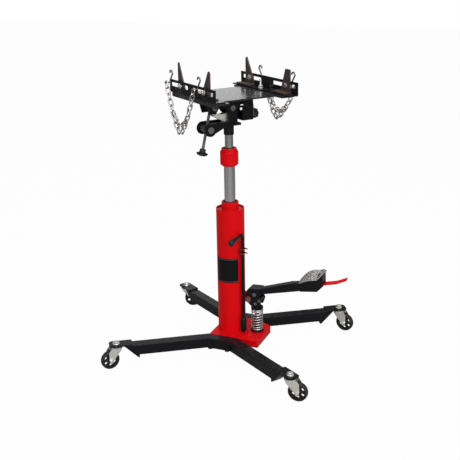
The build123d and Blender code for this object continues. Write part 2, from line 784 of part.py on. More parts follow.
def rod_guide():
    """Two slotted plates welded to the column that steady the rod."""
    reach = ROD_OFF
    plates = []
    for z in GUIDE_Z:
        plate = block(COLUMN_R - 16, reach + ROD_R + 9, -GUIDE_W / 2, GUIDE_W / 2, -GUIDE_T / 2, GUIDE_T / 2)
        plate = at(0, 0, z) * plate
        slot = ROD_R + 0.7
        plate -= rod_z(slot, z - GUIDE_T, z + GUIDE_T, reach)
        plate -= block(reach, reach + 40, -slot, slot, z - GUIDE_T, z + GUIDE_T)
        plate -= rod_z(COLUMN_R, z - GUIDE_T, z + GUIDE_T)
        plates.append(Rotation(0, 0, ROD_ANGLE) * plate)
    return plates


def make_pump():
    """Write the pump, pedal and release nodes."""
    save("pump_body", pump_body())
    save("pump_plunger", pump_plunger())
    save("pump_spring", pump_spring())
    save("pedal_lugs", *pedal_lugs())
    save("pedal_pivot_pin", pivot_pin())
    save("pivot_bosses", *pivot_bosses())
    save("pedal_yoke", in_pedal(pedal_yoke()))
    save("yoke_bolts", *[in_pedal(bolt) for bolt in yoke_bolts()])
    save("pump_roller", in_pedal(pump_roller()))
    save("pedal_pad", in_pedal(pedal_pad()))
    save("pedal_arm", in_pedal(pedal_arm()))
    save("pedal_tail", in_pedal(pedal_tail()))
    save("release_rod", release_rod())
    save("release_grip", release_grip())
    save("release_sleeve", release_sleeve())
    save("rod_guide", *rod_guide())


# =====================================================================
# Saddle: head, cradle and tilt screw, drawn in (u, v, z)
# =====================================================================
PLATE_Z0 = POST_TOP
PLATE_Z1 = POST_TOP + HEAD_PLATE_T
CHEEK_V0 = 20.0
CHEEK_V1 = 26.0
FLANGE_V0 = CHEEK_V1 + GAP
FLANGE_V1 = 32.0
HEAD_ARM_R = 25.0
HEAD_ARM_V0 = 28.0
HEAD_ARM_V1 = 34.0
CRADLE_PIVOT_Z = 1017.0
CRADLE_PIVOT_R = 7.0
WEB_Z0 = 1037.0
WEB_Z1 = 1043.0
EYE_U = -79.0
EYE_Z = 1023.0
EYE_R = 12.0
EYE_BOLT_R = 5.0
EYE_PLAY = 3.2
TRUNNION_U = -98.0
TRUNNION_Z = 942.0
TRUNNION_R = 14.0
TRUNNION_PIN_R = 8.0
SCREW_R = 6.0
KNOB_REACH = 101.0
KNOB_R = 23.0
BARREL_R = 7.5
SIDE_PIN_R = 4.0
BLOCK_U0 = 45.0
BLOCK_U1 = 92.0
BLOCK_Z0 = 963.0
STUD_Z = 980.0
STUD_R = 5.0
QUADRANT_T = 5.0
QUADRANT_V = 34.0
SIDE_TILT = 12.0
STAR_R = 20.0


def saddle_head():
    """Head casting: socket, plate, two pivot cheeks and the two arms of the screw clevis."""
    solid = rod_z(POST_R, SADDLE_SEAT_Z, PLATE_Z1)
    solid += block(-26, 36, -HEAD_ARM_V1, HEAD_ARM_V1, PLATE_Z0, PLATE_Z1)
    for side in (-1, 1):
        v0 = CHEEK_V0 if side > 0 else -CHEEK_V1
        cheek = [(-14, PLATE_Z0 + 1), (25, PLATE_Z0 + 1), (25, 1002), (16, CRADLE_PIVOT_Z),
                 (-16, CRADLE_PIVOT_Z), (-25, 1004), (-14, 992)]
        solid += slab_y(cheek, v0, v0 + CHEEK_V1 - CHEEK_V0)
        solid += rod_y(16, v0, v0 + CHEEK_V1 - CHEEK_V0, 0, CRADLE_PIVOT_Z)
        a0 = HEAD_ARM_V0 if side > 0 else -HEAD_ARM_V1
        arm = [(TRUNNION_U, TRUNNION_Z + HEAD_ARM_R), (-14, TRUNNION_Z + HEAD_ARM_R), (-14, PLATE_Z0),
               (-44, PLATE_Z0 - 6), (TRUNNION_U - 1, TRUNNION_Z - HEAD_ARM_R)]
        solid += slab_y(arm, a0, a0 + HEAD_ARM_V1 - HEAD_ARM_V0)
        solid += rod_y(HEAD_ARM_R, a0, a0 + HEAD_ARM_V1 - HEAD_ARM_V0, TRUNNION_U, TRUNNION_Z)
    solid -= rod_z(SPIGOT_R + RUN, SADDLE_SEAT_Z - 1, SADDLE_SEAT_Z + SPIGOT_H + GAP)
    solid -= rod_y(CRADLE_PIVOT_R, -60, 60, 0, CRADLE_PIVOT_Z)
    return solid - rod_y(TRUNNION_PIN_R + RUN, -60, 60, TRUNNION_U, TRUNNION_Z)


def head_gusset():
    """Bright rib standing on the head plate, tapering towards the tilt screw."""
    outline = [(-73, 988), (-71, 992), (-14, 996), (-2, 990), (-2, PLATE_Z1), (-14, PLATE_Z1), (-30, 966)]
    return slab_y(outline, -12, 12)


def cradle_pin():
    """Pin through the head cheeks that the cradle tilts on."""
    pin = rod_y(CRADLE_PIVOT_R, -FLANGE_V1 - GAP, FLANGE_V1 + GAP, 0, CRADLE_PIVOT_Z)
    for side in (-1, 1):
        v0 = FLANGE_V1 + GAP if side > 0 else -FLANGE_V1 - GAP - 4
        pin += rod_y(CRADLE_PIVOT_R + 4, v0, v0 + 4, 0, CRADLE_PIVOT_Z)
    return pin


def saddle_cradle():
    """Channel under the table: web, flanges with lobes and lugs, hanging block and hinge barrels."""
    solid = block(-110, BLOCK_U1, -FLANGE_V1, FLANGE_V1, WEB_Z0, WEB_Z1)
    flange = [
        (-112, WEB_Z1), (BLOCK_U1, WEB_Z1), (BLOCK_U1, 1014), (BLOCK_U0, 1014), (26, 1014), (22, 1004),
        (-22, 1004), (-26, 1014), (-49, 1022), (-60, 1020), (-72, 1001), (-100, 1001),
    ]
    for side in (-1, 1):
        v0 = FLANGE_V0 if side > 0 else -FLANGE_V1
        plate = slab_y(flange, v0, v0 + FLANGE_V1 - FLANGE_V0)
        plate -= block(36, 50, v0 - 1, v0 + 8, 1022, 1036)
        solid += plate
    solid += block(BLOCK_U0, BLOCK_U1, -FLANGE_V1, FLANGE_V1, BLOCK_Z0, 1014)
    wall = FLANGE_V1 - FLANGE_V0
    solid -= block(BLOCK_U0 - 1, BLOCK_U1 - wall, -FLANGE_V0, FLANGE_V0, BLOCK_Z0 + wall, WEB_Z0)
    solid -= block(68, BLOCK_U1 - wall, FLANGE_V0 - 1, FLANGE_V1 + 1, 992, 1014)
    for u0, u1 in ((-92, -50), (40, 82)):
        barrel = rod_x(BARREL_R, u0, u1, 0, SIDE_AXIS_Z)
        barrel += block(u0, u1, -BARREL_R, BARREL_R, WEB_Z1 - 1, SIDE_AXIS_Z)
        solid += barrel - rod_x(SIDE_PIN_R, u0 - 1, u1 + 1, 0, SIDE_AXIS_Z)
    solid -= rod_y(CRADLE_PIVOT_R + RUN, -60, 60, 0, CRADLE_PIVOT_Z)
    return solid - rod_y(EYE_BOLT_R, -60, 60, EYE_U, EYE_Z)


def cradle_pins():
    """Eye bolt of the tilt screw, hinge pin of the table and stud of the side clamp."""
    bolt = rod_y(EYE_BOLT_R, -FLANGE_V1 - 2, FLANGE_V1 + 2, EYE_U, EYE_Z)
    for side in (-1, 1):
        v0 = FLANGE_V1 if side > 0 else -FLANGE_V1 - 5
        bolt += rod_y(EYE_BOLT_R + 5, v0, v0 + 5, EYE_U, EYE_Z)
    pin = rod_x(SIDE_PIN_R, -94, 84, 0, SIDE_AXIS_Z)
    stud = rod_x(STUD_R, BLOCK_U1, 124, 0, STUD_Z)
    return [bolt, pin, stud]


def screw_frame():
    """Frame at the trunnion centre with local +Z up along the tilt screw."""
    lean = math.degrees(math.atan2(EYE_U - TRUNNION_U, EYE_Z - TRUNNION_Z))
    return at(TRUNNION_U, 0, TRUNNION_Z) * Rotation(0, lean, 0)


def screw_length():
    """Distance from the trunnion centre to the eye centre."""
    return math.hypot(EYE_U - TRUNNION_U, EYE_Z - TRUNNION_Z)


def tilt_trunnion():
    """Cross nut in the clevis, with journals and round heads outside the cheeks."""
    body = rod_y(TRUNNION_R, -HEAD_ARM_V0 + GAP, HEAD_ARM_V0 - GAP, TRUNNION_U, TRUNNION_Z)
    body += rod_y(TRUNNION_PIN_R, -HEAD_ARM_V1 - GAP, HEAD_ARM_V1 + GAP, TRUNNION_U, TRUNNION_Z)
    for side in (-1, 1):
        v0 = HEAD_ARM_V1 + GAP if side > 0 else -HEAD_ARM_V1 - GAP - 4
        body += rod_y(TRUNNION_PIN_R + 4.5, v0, v0 + 4, TRUNNION_U, TRUNNION_Z)
    return body - screw_frame() * rod_z(SCREW_R + RUN, -30, 30)


def tilt_screw():
    """Tilt screw with the eye at its upper end."""
    bar = rod_z(SCREW_R, -KNOB_REACH, screw_length() - EYE_R + 2)
    eye = rod_y(EYE_R, -8, 8, 0, screw_length())
    screw = bar + eye - rod_y(EYE_BOLT_R + EYE_PLAY, -9, 9, 0, screw_length())
    return screw_frame() * screw


def tilt_knob():
    """Mushroom hand knob on the foot of the tilt screw."""
    top = -KNOB_REACH + 24
    knob = turned([
        (SCREW_R, top), (10.5, top), (12, top - 3), (12.5, top - 12), (16, top - 14),
        (KNOB_R, top - 17), (KNOB_R, top - 21), (KNOB_R - 4, top - 25), (10, top - 28),
        (0, top - 28), (0, -KNOB_REACH), (SCREW_R, -KNOB_REACH),
    ])
    return screw_frame() * knob


# =====================================================================
# Saddle: table, brackets, arms and chains
# =====================================================================
TABLE_Z0 = TABLE_TOP - TABLE_T
FOOT_TOP = TABLE_TOP + BRACKET_T
CLAMP_V = 20.0
CLAMP_R = 5.0
CLAMP_SLIDE = 10.0
CLAMPS = {"left": -127.5, "right": 159.5}
ARMS = {
    "lf": ("left", [(124, 0), (124, 108), (121, 114), (116, 114), (70, 16), (70, 0)], (60, 144), 97),
    "ln": ("left", [(-124, 0), (-124, 99), (-120, 105), (-113, 105), (-62, 16), (-62, 0)], (-128, -44), -91),
    "rf": ("right", [(160, 0), (160, 98), (156, 106), (150, 106), (98, 16), (98, 0)], (96, 183), 130),
    "rn": ("right", [(-158, 0), (-158, 89), (-127, 89), (-100, 16), (-100, 0)], (-162, -78), -127),
}


def saddle_table():
    """Saddle plate with wide ends, the hinge barrel and the slotted quadrant under it."""
    ends = [
        (TABLE_U0, -TABLE_END_V), (TABLE_WAIST_U0 - 2, -TABLE_END_V), (TABLE_WAIST_U0, -TABLE_WAIST_V),
        (TABLE_WAIST_U1, -TABLE_WAIST_V), (TABLE_WAIST_U1 + 2, -TABLE_END_V), (TABLE_U1, -TABLE_END_V),
    ]
    outline = ends + [(u, -v) for u, v in reversed(ends)]
    solid = slab_z(outline, TABLE_Z0, TABLE_TOP)
    solid += block(TABLE_WAIST_U0, TABLE_WAIST_U1, -TABLE_WAIST_V, TABLE_WAIST_V, TABLE_Z0,
                   TABLE_TOP + DECK_RISE)
    solid += block(TABLE_U0, TABLE_U0 + TABLE_T, -TABLE_END_V, TABLE_END_V, TABLE_Z0 - TABLE_LIP,
                   TABLE_Z0 + 1)
    barrel = rod_x(BARREL_R, -50 + GAP, 40 - GAP, 0, SIDE_AXIS_Z)
    barrel += block(-50 + GAP, 40 - GAP, -BARREL_R, BARREL_R, SIDE_AXIS_Z, TABLE_Z0 + 1)
    solid += barrel - rod_x(SIDE_PIN_R + RUN, -60, 60, 0, SIDE_AXIS_Z)
    u0 = BLOCK_U1 + GAP
    drop = SIDE_AXIS_Z - STUD_Z
    low = STUD_Z - STUD_R - 9
    sector = [(-18, TABLE_Z0 + 1), (-QUADRANT_V, low + 12), (-14, low), (14, low),
              (QUADRANT_V, low + 12), (18, TABLE_Z0 + 1)]
    plate = slab_x(sector, u0, u0 + QUADRANT_T)
    groove = STUD_R + 0.5
    hinge = at(0, 0, SIDE_AXIS_Z)
    ring = rod_x(drop + groove, u0 - 1, u0 + 9, 0, 0) - rod_x(drop - groove, u0 - 2, u0 + 10, 0, 0)
    spread = math.radians(SIDE_TILT + 1)
    reach = 2 * drop
    fan = [(0, 0), (-reach * math.sin(spread), -reach * math.cos(spread)),
           (reach * math.sin(spread), -reach * math.cos(spread))]
    plate -= hinge * (ring & slab_x(fan, u0 - 1, u0 + 9))
    for turn in (-spread, spread):
        v = drop * math.sin(turn)
        z = SIDE_AXIS_Z - drop * math.cos(turn)
        plate -= rod_x(groove, u0 - 1, u0 + 9, v, z)
    solid += plate
    for u in CLAMPS.values():
        solid -= rod_z(CLAMP_R, TABLE_Z0 - 1, TABLE_TOP + 1, u, CLAMP_V)
    return solid


def star_knob():
    """Lobed clamp knob of the side tilt."""
    u0 = BLOCK_U1 + GAP + QUADRANT_T + GAP
    knob = rod_x(10, u0, u0 + 12, 0, STUD_Z) + rod_x(STAR_R - 5, u0 + 10, u0 + 30, 0, STUD_Z)
    for k in range(7):
        turn = math.radians(360 / 7 * k)
        knob += rod_x(5.5, u0 + 11, u0 + 29, (STAR_R - 5.5) * math.cos(turn),
                      STUD_Z + (STAR_R - 5.5) * math.sin(turn))
    return knob - rod_x(STUD_R + RUN, u0 - 1, 125, 0, STUD_Z)


def bracket_clamps():
    """Studs, washers and nuts that clamp the brackets to the table."""
    pieces = []
    for u in CLAMPS.values():
        stud = rod_z(CLAMP_R, TABLE_Z0 - 4, TABLE_TOP + 40, u, CLAMP_V)
        stud += hexagon_z(9, TABLE_Z0 - 5, TABLE_Z0, u, CLAMP_V)
        z0 = FOOT_TOP + GAP
        nut = rod_z(10.5, z0, z0 + 2, u, CLAMP_V) + hexagon_z(10, z0 + 2, z0 + 10, u, CLAMP_V)
        pieces.extend([stud, nut - rod_z(CLAMP_R, z0 - 1, z0 + 11, u, CLAMP_V)])
    return pieces


def bracket(side):
    """Angle bracket with two arm slots in its upright leg and a clamp slot in its foot."""
    low, high = LEFT_V if side == "left" else RIGHT_V
    slots = LEFT_SLOTS if side == "left" else RIGHT_SLOTS
    sign = -1 if side == "left" else 1
    outer = LEFT_OUTER_U if side == "left" else RIGHT_OUTER_U
    inner = outer - sign * BRACKET_T
    toe = outer - sign * BRACKET_FOOT
    solid = block(min(outer, inner), max(outer, inner), low, high, TABLE_TOP, TABLE_TOP + BRACKET_H)
    solid += block(min(outer, toe), max(outer, toe), low, high, TABLE_TOP, FOOT_TOP)
    half = SLOT_W / 2
    for v0, v1 in slots:
        solid -= block(outer - 9, outer + 9, v0 + 4, v1 - 4, SLOT_Z - half, SLOT_Z + half)
        solid -= block(outer - 9, outer + 9, v0, v1, SLOT_Z - half + 4, SLOT_Z + half - 4)
        for v in (v0 + 4, v1 - 4):
            for z in (SLOT_Z - half + 4, SLOT_Z + half - 4):
                solid -= rod_x(4, outer - 9, outer + 9, v, z)
    u = CLAMPS[side]
    for step in (-CLAMP_SLIDE, CLAMP_SLIDE):
        solid -= rod_z(CLAMP_R + 0.5, TABLE_TOP - 1, FOOT_TOP + 1, u + step, CLAMP_V)
    solid -= block(u - CLAMP_SLIDE, u + CLAMP_SLIDE, CLAMP_V - CLAMP_R - 0.5, CLAMP_V + CLAMP_R + 0.5,
                   TABLE_TOP - 1, FOOT_TOP + 1)
    return solid


def clamp_arm(name):
    """Tapered arm with its foot, and the bolt that holds it in the bracket's slot."""
    side, outline, foot, bolt_v = ARMS[name]
    sign = -1 if side == "left" else 1
    outer = LEFT_OUTER_U if side == "left" else RIGHT_OUTER_U
    face = outer - sign * (BRACKET_T + GAP)
    back = face - sign * ARM_T
    toe = face - sign * ARM_FOOT
    z0 = FOOT_TOP + GAP
    plate = slab_x([(v, z0 + h) for v, h in outline], min(face, back), max(face, back))
    plate += block(min(face, toe), max(face, toe), foot[0], foot[1], z0, z0 + ARM_T)
    plate -= rod_x(ARM_BOLT_R, back - 20, back + 20, bolt_v, SLOT_Z)
    end = outer + sign * 9
    bolt = rod_x(ARM_BOLT_R, min(back, end), max(back, end), bolt_v, SLOT_Z)
    head = at(back, bolt_v, SLOT_Z) * Rotation(0, -90 * sign, 0)
    bolt += head * (rod_z(9.5, 0, 1.5) + hexagon_z(8.5, 1.5, 6.5))
    tail = at(outer + sign * GAP, bolt_v, SLOT_Z) * Rotation(0, 90 * sign, 0)
    bolt += tail * (rod_z(10, 0, 2) + hexagon_z(8.5, 2, 7.5))
    return [plate, bolt]


def chain_link():
    """One oval link, its long axis along local X."""
    half = CHAIN_LINK_L / 2 - CHAIN_LINK_W / 2
    ring_r = CHAIN_LINK_W / 2 - CHAIN_WIRE_R
    link = None
    for side in (-1, 1):
        bend = at(side * half, 0, 0) * Torus(ring_r, CHAIN_WIRE_R)
        keep = block(min(0, side * 90) + side * half, max(0, side * 90) + side * half, -90, 90, -90, 90)
        bend = bend & keep
        bar = rod_x(CHAIN_WIRE_R, -half, half, side * ring_r, 0)
        link = bend + bar if link is None else link + bend + bar
    return link


def drop_points(v0, v1, v_low, z_top, z_low, pitch):
    """Link centres down and up a V with a round foot, spaced one pitch apart."""
    fall = z_top - z_low
    points = []
    length = 0.0
    last = None
    for k in range(2001):
        s = -1 + 2 * k / 2000
        v = v_low + s * (v_low - v0 if s < 0 else v1 - v_low)
        z = z_low + fall * (0.72 * abs(s) ** 1.25 + 0.28 * s * s)
        if last is not None:
            length += math.hypot(v - last[0], z - last[1])
        last = (v, z)
        points.append((length, v, z))
    count = int(length / pitch)
    start = (length - count * pitch) / 2
    centres = []
    for n in range(count + 1):
        target = start + n * pitch
        centres.append(min(points, key=lambda p: abs(p[0] - target))[1:])
    return centres


def chain_knots(side):
    """Joints between links of one side's chain; the count gives an odd number of links."""
    knots = drop_points(*CHAINS[side], CHAIN_LINK_L - 4 * CHAIN_WIRE_R - CHAIN_SLACK)
    return knots if len(knots) % 2 == 0 else knots[:-1]


def hanging_chain(side, u):
    """Interlinked links in a plane of constant u, flat and edge-on in turn."""
    knots = chain_knots(side)
    link = chain_link()
    links = []
    for n in range(len(knots) - 1):
        (va, za), (vb, zb) = knots[n], knots[n + 1]
        slope = math.degrees(math.atan2(zb - za, vb - va))
        place = at(u, (va + vb) / 2, (za + zb) / 2) * Rotation(0, 0, 90) * Rotation(0, -slope, 0)
        links.append(place * Rotation(0 if n % 2 else 90, 0, 0) * link)
    return links


def hook_seat(side, end):
    """Where a hook's foot passes through the end link: (v, z)."""
    knots = chain_knots(side)
    (va, za), (vb, zb) = (knots[0], knots[1]) if end == 0 else (knots[-1], knots[-2])
    span = math.hypot(va - vb, za - zb)
    lift = (CHAIN_LINK_L / 2 - 2 * CHAIN_WIRE_R - HOOK_R - GAP) / span
    return (va + vb) / 2 + (va - vb) * lift, (za + zb) / 2 + (za - zb) * lift


def chain_hook(side, end):
    """Open hook of round wire standing against the bracket, its foot through the end link."""
    sign = -1 if side == "left" else 1
    outer = LEFT_OUTER_U if side == "left" else RIGHT_OUTER_U
    u = outer + sign * (HOOK_R + 0.1)
    v, z = hook_seat(side, end)
    lean = HOOK_LEAN[side][end]
    top = TABLE_TOP + BRACKET_H
    path = FilletPolyline(
        (outer + sign * (CHAIN_OUT + 7), v, z),
        (u, v, z),
        (u, v, top - 6),
        (u, v + lean * 22, top + 24),
        (u, v + lean * 15, top + 35),
        (u, v + lean * 2, top + 32),
        (u, v + lean * 1, top + 24),
        radius=4.2,
    )
    return sweep(Plane(origin=path @ 0, z_dir=path % 0) * Circle(HOOK_R), path=path)


def chain_set(side):
    """One side's chain and its two hooks."""
    sign = -1 if side == "left" else 1
    outer = LEFT_OUTER_U if side == "left" else RIGHT_OUTER_U
    links = hanging_chain(side, outer + sign * CHAIN_OUT)
    return links + [chain_hook(side, end) for end in (0, 1)]


def make_saddle():
    """Write the saddle nodes."""
    save("saddle_head", in_saddle(saddle_head()))
    save("head_gusset", in_saddle(head_gusset()))
    save("cradle_pin", in_saddle(cradle_pin()))
    save("saddle_cradle", in_saddle(saddle_cradle()))
    save("cradle_pins", *[in_saddle(pin) for pin in cradle_pins()])
    save("tilt_trunnion", in_saddle(tilt_trunnion()))
    save("tilt_screw", in_saddle(tilt_screw()))
    save("tilt_knob", in_saddle(tilt_knob()))
    save("saddle_table", in_saddle(saddle_table()))
    save("star_knob", in_saddle(star_knob()))
    save("bracket_clamps", *[in_saddle(piece) for piece in bracket_clamps()])
    for side in ("left", "right"):
        save(f"bracket_{side}", in_saddle(bracket(side)))
        save(f"chain_{side}", *[in_saddle(piece) for piece in chain_set(side)])
    for name in ARMS:
        save(f"arm_{name}", *[in_saddle(piece) for piece in clamp_arm(name)])


os.makedirs("parts", exist_ok=True)
make_base()
make_column()
make_pump()
make_saddle()
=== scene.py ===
"""Looks of the transmission jack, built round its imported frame."""
import json
import math

import bmesh
import bpy
import numpy as np
from mathutils import Matrix, Vector

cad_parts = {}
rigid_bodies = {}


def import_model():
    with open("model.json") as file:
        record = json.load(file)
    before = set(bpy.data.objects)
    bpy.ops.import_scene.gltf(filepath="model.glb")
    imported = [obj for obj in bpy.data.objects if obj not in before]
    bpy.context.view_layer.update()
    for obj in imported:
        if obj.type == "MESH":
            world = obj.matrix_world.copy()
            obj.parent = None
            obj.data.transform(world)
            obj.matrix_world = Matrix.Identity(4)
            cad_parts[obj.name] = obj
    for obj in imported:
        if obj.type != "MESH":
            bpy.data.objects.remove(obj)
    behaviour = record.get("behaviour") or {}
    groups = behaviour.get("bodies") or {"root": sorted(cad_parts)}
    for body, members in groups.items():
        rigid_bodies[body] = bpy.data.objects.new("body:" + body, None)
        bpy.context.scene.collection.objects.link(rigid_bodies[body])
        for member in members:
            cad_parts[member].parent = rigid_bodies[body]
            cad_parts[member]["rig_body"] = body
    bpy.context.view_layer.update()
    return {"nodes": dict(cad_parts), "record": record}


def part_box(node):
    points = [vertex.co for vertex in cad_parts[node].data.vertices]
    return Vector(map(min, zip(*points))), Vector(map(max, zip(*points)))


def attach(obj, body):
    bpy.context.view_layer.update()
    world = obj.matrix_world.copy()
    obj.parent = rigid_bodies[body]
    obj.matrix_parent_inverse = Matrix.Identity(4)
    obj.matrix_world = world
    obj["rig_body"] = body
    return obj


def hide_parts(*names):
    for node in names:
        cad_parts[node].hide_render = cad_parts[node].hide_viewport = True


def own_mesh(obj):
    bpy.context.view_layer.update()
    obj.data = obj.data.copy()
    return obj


bl_info = {
    "name": "Transmission Jack Finish",
    "version": (1, 0, 0),
    "blender": (4, 5, 0),
    "location": "View3D > Sidebar > Jack",
    "description": "Modelled details, finishes and stage of a two-stage transmission jack",
    "category": "Add Mesh",
}

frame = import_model()
NODES = frame["nodes"]
MM = 0.001
SADDLE_YAW = math.radians(53.0)
CORNERS = ("fl", "fr", "rr", "rl")
ARM_BOLTS = {"lf": 97.0, "ln": -91.0, "rf": 130.0, "rn": -127.0}
SLOT_Z = 1098.0
BOLT_REACH = 10.3
FINISH = {}


# ---------------------------------------------------------------------
# Shader maths
# ---------------------------------------------------------------------
class Value:
    """A number socket; arithmetic on it adds Math nodes."""

    def __init__(self, shader, socket):
        self.shader = shader
        self.socket = socket

    def _math(self, operation, *values, clamp=False):
        settings = {"operation": operation, "use_clamp": clamp}
        return self.shader.node("Math", settings, dict(enumerate(values)))

    def __add__(self, other):
        return self._math("ADD", self, other)

    def __radd__(self, other):
        return self._math("ADD", other, self)

    def __sub__(self, other):
        return self._math("SUBTRACT", self, other)

    def __rsub__(self, other):
        return self._math("SUBTRACT", other, self)

    def __mul__(self, other):
        return self._math("MULTIPLY", self, other)

    def __rmul__(self, other):
        return self._math("MULTIPLY", other, self)

    def clamped(self):
        return self._math("ADD", self, 0.0, clamp=True)

    def above(self, edge, soft):
        """0 below edge, 1 above edge + soft, straight between."""
        return self._math("MULTIPLY", self - edge, 1.0 / soft, clamp=True)

    def absolute(self):
        return self._math("ABSOLUTE", self)

    def least(self, other):
        return self._math("MINIMUM", self, other)


class Nodes:
    """A shader node tree, with one way to add a node, fill its sockets and link them."""

    def __init__(self, tree):
        self.tree = tree

    def fill(self, item, values):
        """Link or set the input sockets of a node."""
        for key, value in values.items():
            if isinstance(value, Value):
                self.tree.links.new(value.socket, item.inputs[key])
            else:
                item.inputs[key].default_value = value

    def node(self, kind, settings, values, output=0):
        """Add a node, set it up, fill it and return one of its outputs."""
        item = self.tree.nodes.new("ShaderNode" + kind)
        stops = settings.pop("stops", None)
        for key, setting in settings.items():
            setattr(item, key, setting)
        if stops:
            ramp = item.color_ramp.elements
            while len(ramp) < len(stops):
                ramp.new(0.5)
            for element, (place, colour) in zip(ramp, stops):
                element.position = place
                element.color = (*colour, 1.0)
        self.fill(item, values)
        return Value(self, item.outputs[output])

    def seen_directly(self):
        """1 for camera and transmission rays, 0 for all others."""
        camera = self.node("LightPath", {}, {}, "Is Camera Ray")
        through = self.node("LightPath", {}, {}, "Is Transmission Ray")
        return self.node("Math", {"operation": "MAXIMUM"}, {0: camera, 1: through})


class Shader(Nodes):
    """One material's node tree, with the coordinates and mixes that the finishes share."""

    def __init__(self, name):
        self.material = bpy.data.materials.new(name)
        self.material.use_nodes = True
        super().__init__(self.material.node_tree)
        self.surface = self.tree.nodes["Principled BSDF"]
        self.coords = self.node("TexCoord", {}, {}, "Object")

    def noise(self, scale, detail=3.0, rough=0.5, stretch=None):
        """Soft noise over the object's own coordinates."""
        place = self.coords
        if stretch:
            place = self.node("Mapping", {}, {"Vector": place, "Scale": stretch})
        values = {"Vector": place, "Scale": scale, "Detail": detail, "Roughness": rough}
        return self.node("TexNoise", {}, values)

    def axis(self, letter):
        """One coordinate of the object frame, in metres."""
        return self.node("SeparateXYZ", {}, {0: self.coords}, "XYZ".index(letter))

    def up(self):
        """How far the surface faces up, from -1 to 1."""
        normal = self.node("NewGeometry", {}, {}, "Normal")
        return self.node("SeparateXYZ", {}, {0: normal}, 2)

    def mix(self, amount, first, second):
        """Blend two colours."""
        values = {0: amount}
        for slot, colour in ((6, first), (7, second)):
            values[slot] = colour if isinstance(colour, Value) else (*colour, 1.0)
        return self.node("Mix", {"data_type": "RGBA"}, values, 2)

    def edges(self, radius):
        """1 on convex or concave edges, 0 on open faces."""
        bevel = self.node("Bevel", {"samples": 6}, {"Radius": radius})
        normal = self.node("NewGeometry", {}, {}, "Normal")
        cosine = self.node("VectorMath", {"operation": "DOT_PRODUCT"}, {0: bevel, 1: normal}, "Value")
        return ((1.0 - cosine) * 6.0).clamped()

    def bump(self, height, distance, strength=1.0):
        """Raise the surface by a height map."""
        values = {"Height": height, "Distance": distance, "Strength": strength}
        self.feed(Normal=self.node("Bump", {}, values))

    def feed(self, **values):
        """Set or link the surface's own sockets."""
        self.fill(self.surface, {key.replace("_", " "): value for key, value in values.items()})


# ---------------------------------------------------------------------
# Finishes
# ---------------------------------------------------------------------
# Pale grey laid on up-facing faces: partly dust, partly painted light on the tops.
DUST_AND_TOP_LIGHT = (0.42, 0.40, 0.39)
GRIME = (0.16, 0.145, 0.125)
BARE_STEEL = (0.16, 0.15, 0.15)


def gloss_paint(name, colour, deep, rough, coat, chip=BARE_STEEL, wear=0.35, shine=0.5, dust_and_top_light_amount=0.10):
    """Sprayed enamel: faint orange peel, slow colour drift, dust and painted top light on up-facing faces,
    worn edges.
    """
    m = Shader(name)
    drift = m.noise(9.0, 4.0)
    peel = m.noise(420.0, 2.0)
    fine = m.noise(90.0, 5.0, 0.65)
    body = m.mix((drift * 0.9).clamped(), colour, deep)
    worn = (m.edges(0.0012) * fine.above(0.56, 0.12) * wear).clamped()
    # Painted light: up-facing faces are lightened towards pale grey, partly for dust and partly for the
    # brighter light that falls on tops.
    dust_and_top_light = (m.up().above(0.6, 0.4) * fine.above(0.45, 0.5) * dust_and_top_light_amount).clamped()
    m.feed(Base_Color=m.mix(worn, m.mix(dust_and_top_light, body, DUST_AND_TOP_LIGHT), chip))
    m.feed(Roughness=rough + fine * 0.10 + dust_and_top_light * 0.6 + worn * 0.2)
    m.feed(Coat_Weight=coat, Coat_Roughness=0.06, Metallic=0.0, Specular_IOR_Level=shine)
    m.bump(peel * 0.6 + drift * 0.4, 0.00018, 0.35)
    return m.material


def plated(name, colour, shade, rough=0.3, spangle=260.0, grime=0.35):
    """Zinc or steel plating: crystal spangle, drawn streaks and grime in the matt places."""
    m = Shader(name)
    cells = m.node("TexVoronoi", {"feature": "F1"}, {"Vector": m.coords, "Scale": spangle}, "Distance")
    cloud = m.noise(38.0, 5.0, 0.6)
    fine = m.noise(500.0, 2.0)
    soil = cloud.above(0.52, 0.25) * grime
    base = m.mix((cells * 0.8).clamped(), colour, shade)
    m.feed(Base_Color=m.mix(soil.clamped(), base, GRIME))
    m.feed(Roughness=rough + cells * 0.12 + soil * 0.4 + fine * 0.06, Metallic=1.0 - soil * 0.5)
    m.bump(fine * 0.5 + cells * 0.5, 0.0001, 0.4)
    return m.material


def ram_chrome(name):
    """Hard chrome with rings of fine polish marks round the bar and an oil film."""
    m = Shader(name)
    rings = m.noise(1.0, 3.0, 0.6, (30.0, 30.0, 5200.0))
    film = m.noise(22.0, 4.0, 0.55, (1.0, 1.0, 0.35))
    oil = film.above(0.45, 0.4) * 0.5
    m.feed(Base_Color=m.mix(oil, (0.50, 0.485, 0.495), (0.38, 0.365, 0.375)))
    m.feed(Metallic=1.0, Roughness=0.09 + rings * 0.06 + film * 0.04)
    m.bump(rings, 0.00004, 0.5)
    return m.material


def moulded(name, colour, rough=0.5, grain=900.0):
    """Moulded plastic or rubber with a fine skin and scuffs."""
    m = Shader(name)
    skin = m.noise(grain, 2.0)
    scuff = m.noise(60.0, 6.0, 0.7)
    light = tuple(c * 2.4 + 0.01 for c in colour)
    m.feed(Base_Color=m.mix(scuff.above(0.55, 0.3) * 0.6, colour, light))
    m.feed(Roughness=rough + scuff * 0.16, Specular_IOR_Level=0.24)
    m.bump(skin, 0.00012, 0.5)
    return m.material


def blackened(name):
    """Blackened steel bolts and pins, rubbed bright on their edges."""
    m = Shader(name)
    cloud = m.noise(70.0, 5.0, 0.6)
    rub = (m.edges(0.0008) * cloud.above(0.42, 0.2)).clamped()
    base = m.mix(cloud, (0.10, 0.098, 0.10), (0.19, 0.185, 0.185))
    m.feed(Base_Color=m.mix(rub, base, (0.42, 0.41, 0.40)))
    m.feed(Metallic=0.85, Roughness=0.40 - rub * 0.12 + cloud * 0.1)
    m.bump(m.noise(600.0, 2.0), 0.0001, 0.4)
    return m.material


